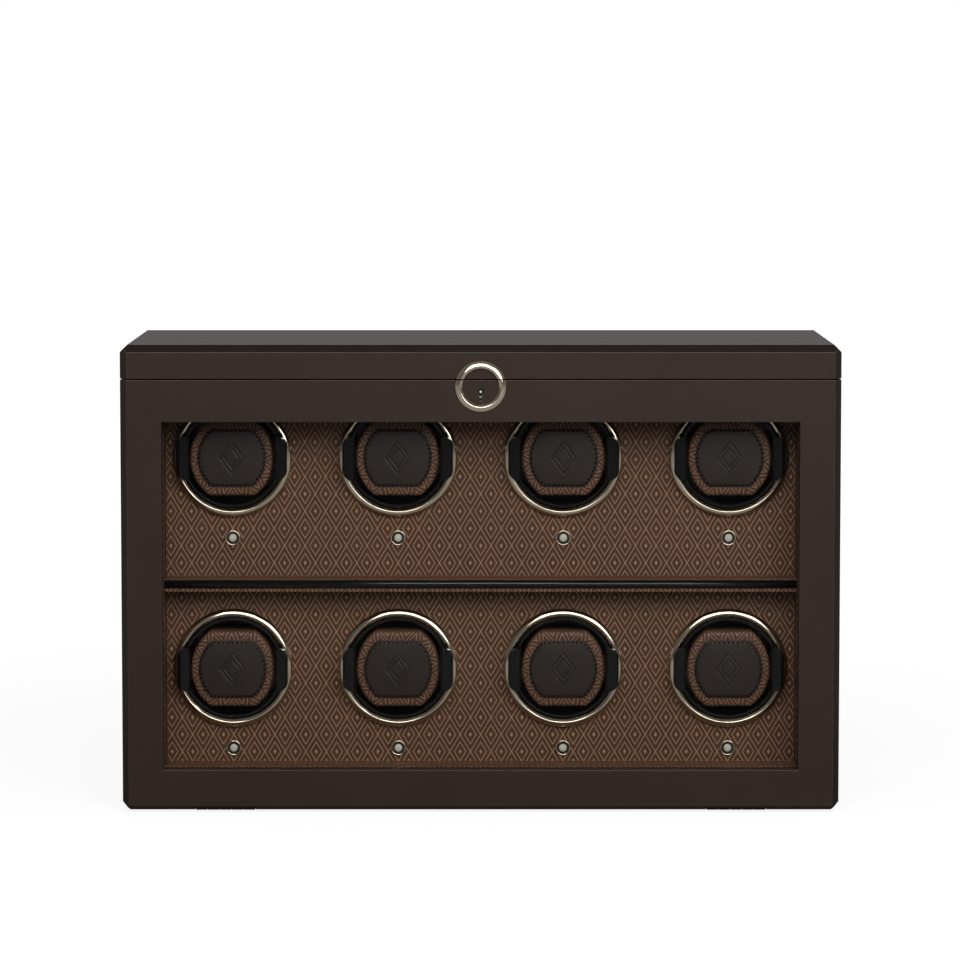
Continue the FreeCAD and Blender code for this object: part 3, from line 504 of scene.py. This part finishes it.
# Printed cuff leather: the lining's print on a lighter, redder skin, carried round the cuff by its own lengths.
cuff_leather, out = material("printed_cuff_leather")
where = add(cuff_leather, "ShaderNodeTexCoord", {})
across, up, _ = add(cuff_leather, "ShaderNodeSeparateXYZ", {0: where.outputs["UV"]}).outputs
printed(cuff_leather, out, where.outputs["Object"], trellis(cuff_leather, across, up),
        ("#3d261a", "#4b3020"), ("#8b6448", "#a37a5a"))

# Pad leather: soft dark calf, almost black, with pores drawn at 1 mm. A plain double lozenge is pressed into its
# middle, and its lines are painted darker as painted shade in the grooves.
pad_leather, out = material("soft_pad_calf_leather")
where = add(pad_leather, "ShaderNodeTexCoord", {})
across, up, _ = add(pad_leather, "ShaderNodeSeparateXYZ", {0: where.outputs["UV"]}).outputs
slant = maths(pad_leather, "ADD", maths(pad_leather, "DIVIDE", maths(pad_leather, "ABSOLUTE", across), PRESS_W * MM),
              maths(pad_leather, "DIVIDE", maths(pad_leather, "ABSOLUTE", up), PRESS_H * MM))
pressed = maths(pad_leather, "MAXIMUM", *[maths(pad_leather, "COMPARE", slant, ring, 0.05) for ring in PRESS_RINGS])
soft = mottled(pad_leather, where.outputs["Object"], 14, "#1f1712", "#281d16")
painted_groove_shade = mottled(pad_leather, where.outputs["Object"], 4, "#0e0a08", "#15100d")
finish(pad_leather, out, {
    "Base Color": add(pad_leather, "ShaderNodeMix", {0: pressed, 6: soft, 7: painted_groove_shade}, data_type="RGBA").outputs[2],
    "Roughness": mottled(pad_leather, where.outputs["Object"], 5, 0.42, 0.55),
    "Normal": grained(pad_leather, where.outputs["Object"], 1.0, 0.04, 0.15),
    "Specular IOR Level": 0.3})

# Waxed linen thread: black, with a twist of about 0.5 mm.
waxed_thread, out = material("waxed_linen_thread")
place = add(waxed_thread, "ShaderNodeTexCoord", {}).outputs["Object"]
twist = add(waxed_thread, "ShaderNodeTexWave", {"Vector": place, "Scale": 0.3 / (0.5 * MM)}, bands_direction="DIAGONAL")
finish(waxed_thread, out, {
    "Base Color": mottled(waxed_thread, place, 2, "#050404", "#0b0908"),
    "Roughness": 0.7,
    "Specular IOR Level": 0.1,
    "Normal": add(waxed_thread, "ShaderNodeBump", {"Height": twist.outputs["Fac"], "Distance": 0.05 * MM,
                                                   "Strength": 0.5}).outputs["Normal"]})

cuff_low, cuff_high = box_of("watch_cuff_1")
cuff_face = cuff_low[1] + PAD_EDGE + PAD_ROUND + PAD_SWELL
cuff_back = cuff_high[1]
bend = np.linspace(0, np.pi / 2, 10)
block_rows = np.concatenate([
    [[CUFF_CAP, cuff_face]],
    np.stack([CUFF_ROUND * (1 - np.sin(bend) ** CUFF_SQUARE),
              cuff_face + CUFF_ROUND_DEEP * (1 - np.cos(bend) ** CUFF_SQUARE)], -1),
    [[0.0, cuff_back - CUFF_CAP], [1.0, cuff_back - 5.0], [CUFF_CAP, cuff_back]]])
block, block_faces, block_uv = stacked(block_rows.tolist(), CUFF_W, CUFF_H, CUFF_FLAT, CUFF_SIDES)


def pad_rise(inset):
    """Height of the pad over the cuff, by distance in from its edge: a quarter round, then a slow swell to the
    middle, less the furrow that the stitches pull down."""
    edge = np.sqrt(1 - (1 - np.clip(inset / PAD_ROUND_IN, 0, 1)) ** 2)
    swell = 1 - (1 - np.clip(inset / (PAD_H / 2), 0, 1)) ** 2
    furrow = np.exp(-((inset - SEAM_IN) / SEAM_WIDE) ** 2)
    return PAD_EDGE + PAD_ROUND * edge + PAD_SWELL * swell - SEAM_DEEP * furrow


# The pad is a net of runs, kept even round the rim and then drawn in to the middle. Two more tuck its edge under.
inset = np.concatenate([np.linspace(0, PAD_RIM, 25), np.linspace(PAD_RIM + 0.5, PAD_H / 2 - 0.3, 44)])
runs = np.stack([outline(PAD_W, PAD_H, PAD_FLAT, min(s, PAD_RIM), PAD_SIDES)[0] for s in inset])
runs = runs * (1 - np.clip((inset - PAD_RIM) / (PAD_H / 2 - PAD_RIM), 0, 1))[:, None, None]
tuck = np.stack([outline(PAD_W, PAD_H, PAD_FLAT, s, PAD_SIDES)[0] for s in (0.8, 0.2)])
runs = np.concatenate([tuck, runs])
rise = np.concatenate([[0.0, 0.4], pad_rise(inset)])
slant = abs(runs[..., 0]) / PRESS_W + abs(runs[..., 1]) / PRESS_H
dent = PRESS_DEEP * sum(np.exp(-((slant - ring) / PRESS_LINE) ** 2) for ring in PRESS_RINGS)
pad = np.stack([runs[..., 0], cuff_face - rise[:, None] + dent, runs[..., 1]], -1)
pad_faces = [list(f) for f in quads(len(rise), PAD_SIDES + 1, False, False)]
pad_faces.append(list(range(PAD_SIDES)))
pad_faces.append(list(range((len(rise) - 1) * (PAD_SIDES + 1), len(rise) * (PAD_SIDES + 1) - 1)))
pad_uv = runs.reshape(-1, 2)

# A stitch is a short rounded bar; round the seam each one lies along the outline, half sunk in the furrow.
seam, _ = outline(PAD_W, PAD_H, PAD_FLAT, SEAM_IN, STITCHES)
heading = np.roll(seam[:-1], -1, 0) - np.roll(seam[:-1], 1, 0)
heading = heading / np.linalg.norm(heading, axis=1)[:, None]
lie = np.linspace(-1, 1, STITCH_SIDES)
swell = np.sqrt(np.clip(1 - lie ** 4, 0, 1)) * STITCH_R + 0.001
around = np.linspace(0, 2 * np.pi, STITCH_SIDES, endpoint=False)
bar = np.stack([np.broadcast_to(lie[:, None] * STITCH_L / 2, (STITCH_SIDES, STITCH_SIDES)),
                swell[:, None] * np.cos(around), swell[:, None] * np.sin(around)], -1).reshape(-1, 3)
side = np.stack([-heading[:, 1], heading[:, 0]], -1)
seam_y = cuff_face - pad_rise(np.array(SEAM_IN)) - STITCH_R * 0.3
stitch_xz = seam[:-1, None] + bar[:, 0, None] * heading[:, None] + bar[:, 1, None] * side[:, None]
stitch_y = seam_y + np.broadcast_to(bar[:, 2], stitch_xz.shape[:2])
stitches = np.stack([stitch_xz[..., 0], stitch_y, stitch_xz[..., 1]], -1)
stitch_faces = quads(STITCH_SIDES, STITCH_SIDES, False, True) + np.arange(STITCHES)[:, None, None] * len(bar)
stitch_faces = stitch_faces.reshape(-1, 4)

for k in DRUMS:
    body = "cuff_%d" % k
    shift = drum_mid[k - 1] * [1, 0, 1]
    piece("cuff_block_%d" % k, block + shift, block_faces, [cuff_leather], body, ["watch_cuff_%d" % k], block_uv)
    cushion = piece("cuff_pad_%d" % k, pad.reshape(-1, 3) + shift, pad_faces, [pad_leather], body,
                    ["watch_cuff_%d" % k], pad_uv)
    thread = piece("pad_stitches_%d" % k, stitches.reshape(-1, 3) + shift, stitch_faces, [waxed_thread], body, [])

# ---------------------------------------------------------------------------------------------------
# Setting buttons. Under each ring is a turned bezel in the same gold plate, with a sunk black floor, and in
# it a small domed push button in pale satin plastic.

BEZEL_BAND = 1.5
BEZEL_FLOOR = 0.5
BEZEL_SIDES = 48
BUTTON_R = 2.8
BUTTON_DOME = 0.7
BUTTON_SIDES = 32

# Matt black lacquer on the bezel's floor.
black_lacquer, out = material("matt_black_lacquer")
place = add(black_lacquer, "ShaderNodeTexCoord", {}).outputs["Object"]
finish(black_lacquer, out, {
    "Base Color": mottled(black_lacquer, place, 3, "#060505", "#0c0b0a"),
    "Roughness": mottled(black_lacquer, place, 1, 0.5, 0.65)})

# Satin polycarbonate: pale grey green, milky, with a soft highlight.
satin_plastic, out = material("satin_polycarbonate")
place = add(satin_plastic, "ShaderNodeTexCoord", {}).outputs["Object"]
finish(satin_plastic, out, {
    "Base Color": mottled(satin_plastic, place, 2, "#b3aea0", "#c2bdae"),
    "Roughness": mottled(satin_plastic, place, 0.8, 0.32, 0.42),
    "Normal": grained(satin_plastic, place, 0.8, 0.01, 0.2)})

button_mid = np.array([middle_of("setting_button_%d" % k) for k in DRUMS])
low, high = box_of("button_bezels")
bezel_r = high[0] - button_mid[:, 0].max()
band_in, band_face = bezel_r - BEZEL_BAND, low[1]
crest = np.linspace(0, np.pi, 13)
bezel = np.concatenate([
    [(BUTTON_R + 0.1, panel_y), (BUTTON_R + 0.1, panel_y - BEZEL_FLOOR), (band_in - 0.05, panel_y - BEZEL_FLOOR)],
    np.stack([bezel_r - BEZEL_BAND / 2 * (1 + np.cos(crest)),
              panel_y - BEZEL_FLOOR - (panel_y - BEZEL_FLOOR - band_face) * np.sin(crest)], -1),
    [(bezel_r, panel_y)]])
points, faces = lathe(bezel, button_mid, BEZEL_SIDES)
floor_faces = np.repeat(bezel[:, 0] < band_in - 0.02, BEZEL_SIDES)
piece("gold_button_bezels", points, faces, [gold_plate, black_lacquer], "case", ["button_bezels"],
      which=np.tile(floor_faces.astype(int), len(button_mid)))
low, high = box_of("setting_button_1")
collar_r = (high[0] - low[0]) / 2
panel_rear = box_of("upper_panel")[1][1]
dome = np.linspace(0, np.pi / 2, 7)
button = np.concatenate([
    np.stack([BUTTON_R * np.sin(dome), low[1] + BUTTON_DOME * (1 - np.cos(dome))], -1),
    [[BUTTON_R, panel_rear], [collar_r, panel_rear], [collar_r, high[1]], [0, high[1]]]])
for k in DRUMS:
    points, faces = lathe(button, button_mid[k - 1:k], BUTTON_SIDES, closed=False)
    piece("satin_button_%d" % k, points, faces, [satin_plastic], "button_%d" % k, ["setting_button_%d" % k])

# ---------------------------------------------------------------------------------------------------
# Drive. Behind the panels a fibreboard carries a sintered bush and a die-cast gear motor for each drum, and
# one small circuit board.

# Bare fibreboard: pressed wood dust, flecked at about 1 mm, quite matt.
fibreboard, out = material("bare_fibreboard")
place = add(fibreboard, "ShaderNodeTexCoord", {}).outputs["Object"]
finish(fibreboard, out, {
    "Base Color": mottled(fibreboard, place, 1, "#6b5238", "#8a6c4c", 6.0),
    "Roughness": 0.85,
    "Normal": grained(fibreboard, place, 1, 0.05, 0.3)})
dress("motor_board", fibreboard)

# Sintered bronze: dull yellow, with an oily, pitted gloss.
sintered_bronze, out = material("sintered_bronze")
place = add(sintered_bronze, "ShaderNodeTexCoord", {}).outputs["Object"]
finish(sintered_bronze, out, {
    "Base Color": mottled(sintered_bronze, place, 2, "#9a7236", "#b08a4a"),
    "Metallic": 1.0,
    "Roughness": mottled(sintered_bronze, place, 1, 0.35, 0.5)})
dress("bearing_bushes", sintered_bronze)

# Die-cast zinc: grey, with a soft cast grain of about 1.5 mm.
cast_zinc, out = material("die_cast_zinc")
place = add(cast_zinc, "ShaderNodeTexCoord", {}).outputs["Object"]
finish(cast_zinc, out, {
    "Base Color": mottled(cast_zinc, place, 8, "#8f9092", "#a2a3a4"),
    "Metallic": 1.0,
    "Roughness": mottled(cast_zinc, place, 3, 0.35, 0.5),
    "Normal": grained(cast_zinc, place, 1.5, 0.04, 0.3)})
dress("gear_motors", cast_zinc)

# Glass-fibre laminate under green solder resist, with the copper's tracks faintly raised.
green_laminate, out = material("green_circuit_laminate")
place = add(green_laminate, "ShaderNodeTexCoord", {}).outputs["Object"]
tracks = add(green_laminate, "ShaderNodeTexBrick", {"Vector": place, "Scale": 1 / (12 * MM)})
finish(green_laminate, out, {
    "Base Color": mottled(green_laminate, place, 6, "#0f3a22", "#17492c"),
    "Roughness": 0.35,
    "Normal": add(green_laminate, "ShaderNodeBump", {"Height": tracks.outputs["Fac"], "Distance": 0.05 * MM,
                                                     "Strength": 0.4}).outputs["Normal"]})
dress("control_board", green_laminate)

# ---------------------------------------------------------------------------------------------------
# Drop front. A mitred frame wrapped in the same calf as the case, with a pane of glass in a rebate behind its
# square-edged window, and a slip in the same calf that holds the pane in.

SLIP_ROUND = 0.6

# Its rounded edges take the calf with painted highlight and painted shade.
wrapped("door_frame", calf_leather, LEATHER_T, painted_highlight_calf)
wrapped("glass_beads", calf_leather, SLIP_ROUND)

# Clear float glass: nearly invisible, with a faint reflection and a trace of dust that dulls it.
float_glass, out = material("clear_float_glass")
place = add(float_glass, "ShaderNodeTexCoord", {}).outputs["Object"]
finish(float_glass, out, {
    "Base Color": colour("#0a0d0c"),
    "Roughness": mottled(float_glass, place, 40, 0.02, 0.05),
    "Alpha": 0.05})
dress("door_glass", float_glass)

# ---------------------------------------------------------------------------------------------------
# Lock. A steel case let into the top rail, with a plug and hook behind a keyhole, and a gold ring round the
# keyhole that the seam parts: its lower piece is on the front and its upper piece on the lid.

LOCK_RING_R = 19.0
LOCK_RING_BORE = 13.5
LOCK_RING_CROWN_R = 15.2
LOCK_RING_SHOULDER_R = 17.4
LOCK_RING_SHOULDER = 0.6
LOCK_RING_PROUD = 2.7
LOCK_RING_LIP = 1.2
LOCK_RING_SIDES = 96
KEY_Z = 313.9
KEY_PIN_R = 0.9
KEYWAY_R = 4.1
KEYWAY_LIP = 0.5

# Zinc-plated steel: grey, with a brushed grain along X, 0.5 mm wide.
plated_steel, out = material("zinc_plated_steel")
place = add(plated_steel, "ShaderNodeTexCoord", {}).outputs["Object"]
brush = add(plated_steel, "ShaderNodeMapping", {"Vector": place, "Scale": (0.05, 1, 1)}).outputs["Vector"]
finish(plated_steel, out, {
    "Base Color": mottled(plated_steel, place, 6, "#8c8a86", "#a09e99"),
    "Metallic": 1.0,
    "Roughness": mottled(plated_steel, brush, 0.5, 0.25, 0.45)})
for part in ("lock_case", "lid_staple"):
    dress(part, plated_steel)

# Steel of the plug behind the keyhole: painted black as painted shade, so that the hole looks dark, with its pin bright
# steel and the lip of its keyway painted bright as a painted glint.
keyhole_shade_steel, out = material("painted_keyhole_shade_and_glint_steel")
place = add(keyhole_shade_steel, "ShaderNodeTexCoord", {}).outputs["Object"]
from_axis = add(keyhole_shade_steel, "ShaderNodeVectorMath", {0: place, 1: (0, 0, KEY_Z * MM)}, operation="SUBTRACT")
flat_off = add(keyhole_shade_steel, "ShaderNodeVectorMath", {0: from_axis.outputs[0], 1: (1, 0, 1)}, operation="MULTIPLY")
off = add(keyhole_shade_steel, "ShaderNodeVectorMath", {0: flat_off.outputs[0]}, operation="LENGTH").outputs["Value"]
pin_and_painted_glint_mask = maths(keyhole_shade_steel, "MAXIMUM", maths(keyhole_shade_steel, "LESS_THAN", off, KEY_PIN_R * MM),
             maths(keyhole_shade_steel, "COMPARE", off, KEYWAY_R * MM, KEYWAY_LIP * MM))
dark = mottled(keyhole_shade_steel, place, 2, "#050505", "#0b0a09")
bright = mottled(keyhole_shade_steel, place, 1, "#d8d5ce", "#f0eee9")
finish(keyhole_shade_steel, out, {
    "Base Color": add(keyhole_shade_steel, "ShaderNodeMix", {0: pin_and_painted_glint_mask, 6: dark, 7: bright}, data_type="RGBA").outputs[2],
    "Metallic": pin_and_painted_glint_mask,
    "Roughness": mottled(keyhole_shade_steel, place, 1, 0.3, 0.45)})
dress("lock_hook", keyhole_shade_steel)

front_y = box_of("door_frame")[0][1]
low, high = box_of("lock_ring_lower")
ring_z = low[2] + LOCK_RING_R
seam_cuts = {"lock_ring_lower": (high[2], False), "lock_ring_upper": (box_of("lid_board")[0][2], True)}
lock_crown = front_y - LOCK_RING_PROUD
lock_profile = rounded([(LOCK_RING_BORE, front_y), (LOCK_RING_BORE, lock_crown + LOCK_RING_LIP),
                        (LOCK_RING_CROWN_R, lock_crown), (LOCK_RING_SHOULDER_R, lock_crown + LOCK_RING_SHOULDER),
                        (LOCK_RING_R, front_y - LOCK_RING_LIP / 2), (LOCK_RING_R, front_y)],
                       [[0.1], [0.3], [0.5], [1.0], [0.5], [0.1]])


def ring_part(seam_z, upper, count):
    """The part of the lock ring above or below a level cut. At each radius the angle runs from where that radius
    meets the cut on one side to where it meets it on the other, so both ends are flat on the cut."""
    r, y = lock_profile[:, :1], lock_profile[:, 1:]
    rise = np.arcsin((seam_z - ring_z) / r)
    start, end = (rise, np.pi - rise) if upper else (np.pi - rise, 2 * np.pi + rise)
    a = start + (end - start) * np.linspace(0, 1, count)
    points = np.stack([r * np.cos(a), y + 0 * a, ring_z + r * np.sin(a)], -1).reshape(-1, 3)
    faces = [list(f) for f in quads(len(r), count, True, False)]
    faces.append([i * count for i in range(len(r))])
    faces.append([i * count + count - 1 for i in range(len(r))])
    return points, faces


for node, (seam_z, upper) in seam_cuts.items():
    points, faces = ring_part(seam_z, upper, LOCK_RING_SIDES)
    piece("gold_" + node, points, faces, [gold_plate], body_of[node], [node])

# ---------------------------------------------------------------------------------------------------
# Lid. A top board on four rim boards, butted and then wrapped as one in the calf, with a lined panel let into
# the hollow between the rims.

LID_RIM = 24.0
LID_RECESS = 8.0


def rims_joined(shell):
    """Makes one skin of the lid's boards: the faces between them go, and the hollow's roof, front and back are
    put back as one face each. Cuts along the rims give all the boards the same corners."""
    low, high = np.array(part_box("lid_board"))
    roof, side = low[2] + LID_RECESS * MM, high[0] - LID_RIM * MM
    fore, aft = low[1] + LID_RIM * MM, high[1] - LID_RIM * MM
    between = [f for f in shell.faces if any(all(abs(v.co[axis] - at) < 0.01 * MM for v in f.verts)
                                             for axis, at in ((2, roof), (1, fore), (1, aft)))]
    bmesh.ops.delete(shell, geom=between, context="FACES")
    hollow = (((fore, roof), (aft, roof)), ((fore, low[2]), (fore, roof)), ((aft, low[2]), (aft, roof)))
    for (y0, z0), (y1, z1) in hollow:
        corners = ((-side, y0, z0), (side, y0, z0), (side, y1, z1), (-side, y1, z1))
        shell.faces.new([shell.verts.new(p) for p in corners])
    for axis, at in ((0, -side), (0, side), (1, fore), (1, aft)):
        normal = np.eye(3)[axis]
        bmesh.ops.bisect_plane(shell, geom=[*shell.verts, *shell.edges, *shell.faces], dist=0.001 * MM,
                               plane_co=at * normal, plane_no=normal)


# Its rounded edges take the calf with painted highlight and painted shade.
wrapped("lid_board", calf_leather, LEATHER_T, painted_highlight_calf, prepare=rims_joined)
wrapped("lid_lining", lining_leather, LEATHER_T)

# ---------------------------------------------------------------------------------------------------
# Hinges. Two pairs of rolled steel butts, chemically browned, let into the back for the lid and under the
# front for the drop.

# Bronzed steel: dark brown metal, rubbed a little brighter in patches of about 4 mm.
bronzed_steel, out = material("bronzed_steel")
place = add(bronzed_steel, "ShaderNodeTexCoord", {}).outputs["Object"]
finish(bronzed_steel, out, {
    "Base Color": mottled(bronzed_steel, place, 4, "#1f1712", "#33281f"),
    "Metallic": 1.0,
    "Roughness": mottled(bronzed_steel, place, 2, 0.35, 0.5)})
for hinge in ("lid_hinge", "door_hinge"):
    for part in ("case_leaves", hinge.split("_")[0] + "_leaves", "pins"):
        dress(hinge + "_" + part, bronzed_steel)

# ---------------------------------------------------------------------------------------------------
# Studio. A white floor and surroundings, one large soft lamp above and to the right of the camera, and a weaker
# one above its middle. The room behind the camera is dim, so dark leather stays dark.

FLOOR_SIZE = 40.0
FLOOR_GLOW = 0.88

floor_white, out = material("white_studio_floor")
rays = add(floor_white, "ShaderNodeLightPath", {})
matt = add(floor_white, "ShaderNodeBsdfDiffuse", {"Color": colour("#727272")})
place = add(floor_white, "ShaderNodeTexCoord", {}).outputs["Object"]
behind = add(floor_white, "ShaderNodeSeparateXYZ", {0: place}).outputs["Y"]
nearer = maths(floor_white, "MULTIPLY_ADD", maths(floor_white, "GREATER_THAN", behind, 0.0), 0.8, 0.2)
glossy = maths(floor_white, "MULTIPLY", rays.outputs["Is Glossy Ray"], nearer)
seen = maths(floor_white, "MAXIMUM", rays.outputs["Is Camera Ray"], rays.outputs["Is Transmission Ray"])
away = add(floor_white, "ShaderNodeVectorMath", {0: place}, operation="LENGTH").outputs["Value"]
sweep_up = add(floor_white, "ShaderNodeMapRange", {"Value": away, "From Min": 0.4, "From Max": 2.0,
                                                   "To Min": FLOOR_GLOW, "To Max": 1.0}).outputs["Result"]
glow = add(floor_white, "ShaderNodeEmission",
           {"Strength": maths(floor_white, "MULTIPLY", maths(floor_white, "MAXIMUM", seen, glossy), sweep_up)})
both = add(floor_white, "ShaderNodeAddShader", {0: matt.outputs[0], 1: glow.outputs[0]})
floor_white.node_tree.links.new(both.outputs[0], out.inputs["Surface"])
ground = bpy.data.meshes.new("studio_floor")
half = FLOOR_SIZE / 2
ground.from_pydata([(-half, -half, 0), (half, -half, 0), (half, half, 0), (-half, half, 0)], [], [(0, 1, 2, 3)])
ground.materials.append(floor_white)
studio_floor = bpy.data.objects.new("studio_floor", ground)
bpy.context.collection.objects.link(studio_floor)
studio_floor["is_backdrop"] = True

AMBIENT = 0.35
ROOM_DIM = 0.12
ROOM_BRIGHT = 0.6
studio = bpy.data.worlds.new("studio")
studio.use_nodes = True
studio.node_tree.nodes.clear()
rays = add(studio, "ShaderNodeLightPath", {})
way = add(studio, "ShaderNodeTexCoord", {}).outputs["Generated"]
_, toward, _ = add(studio, "ShaderNodeSeparateXYZ", {0: way}).outputs
lift = maths(studio, "MULTIPLY_ADD", toward, 0.75, 0.25)
gloss = add(studio, "ShaderNodeMapRange", {"Value": lift, "From Min": 0.0, "From Max": 1.0, "To Min": ROOM_DIM,
                                           "To Max": ROOM_BRIGHT}).outputs["Result"]
light = add(studio, "ShaderNodeMix", {0: rays.outputs["Is Glossy Ray"], 2: AMBIENT, 3: gloss}).outputs[0]
seen = maths(studio, "MAXIMUM", rays.outputs["Is Camera Ray"], rays.outputs["Is Transmission Ray"])
level = add(studio, "ShaderNodeMix", {0: seen, 2: light, 3: 1.0}).outputs[0]
air = add(studio, "ShaderNodeBackground", {"Color": colour("#ffffff"), "Strength": level})
studio.node_tree.links.new(air.outputs[0], add(studio, "ShaderNodeOutputWorld", {}).inputs["Surface"])
bpy.context.scene.world = studio


def softbox(name, place, target, size, power):
    """A square area lamp that faces a target."""
    lamp = bpy.data.lights.new(name, "AREA")
    lamp.energy, lamp.size = power, size
    obj = bpy.data.objects.new(name, lamp)
    bpy.context.collection.objects.link(obj)
    obj.location = place
    way = np.array(target) - np.array(place)
    obj.rotation_euler = (math.atan2(math.hypot(way[0], way[1]), -way[2]), 0, math.atan2(-way[0], way[1]))


middle = [0.0, 0.0, 0.17]
softbox("key_softbox", (0.95, -1.9, 1.1), middle, 1.2, 20)
softbox("top_softbox", (-0.1, -1.6, 1.15), middle, 1.0, 17)

CAMERA_BACK = 3.2
CAMERA_UP = 0.5328
CAMERA_DIP = 5.074
CAMERA_ASIDE = -0.0005
IMAGE_WIDTH = 960
FOCUS_PIXELS = 4347.9
camera = bpy.data.objects.new("camera", bpy.data.cameras.new("camera"))
bpy.context.collection.objects.link(camera)
camera.location = (CAMERA_ASIDE, front_y * MM - CAMERA_BACK, CAMERA_UP)
camera.rotation_euler = (math.radians(90 - CAMERA_DIP), 0, 0)
camera.data.sensor_width = 36.0
camera.data.lens = camera.data.sensor_width * FOCUS_PIXELS / IMAGE_WIDTH
bpy.context.scene.camera = camera
bpy.context.scene.view_settings.view_transform = "Standard"

low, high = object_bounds()
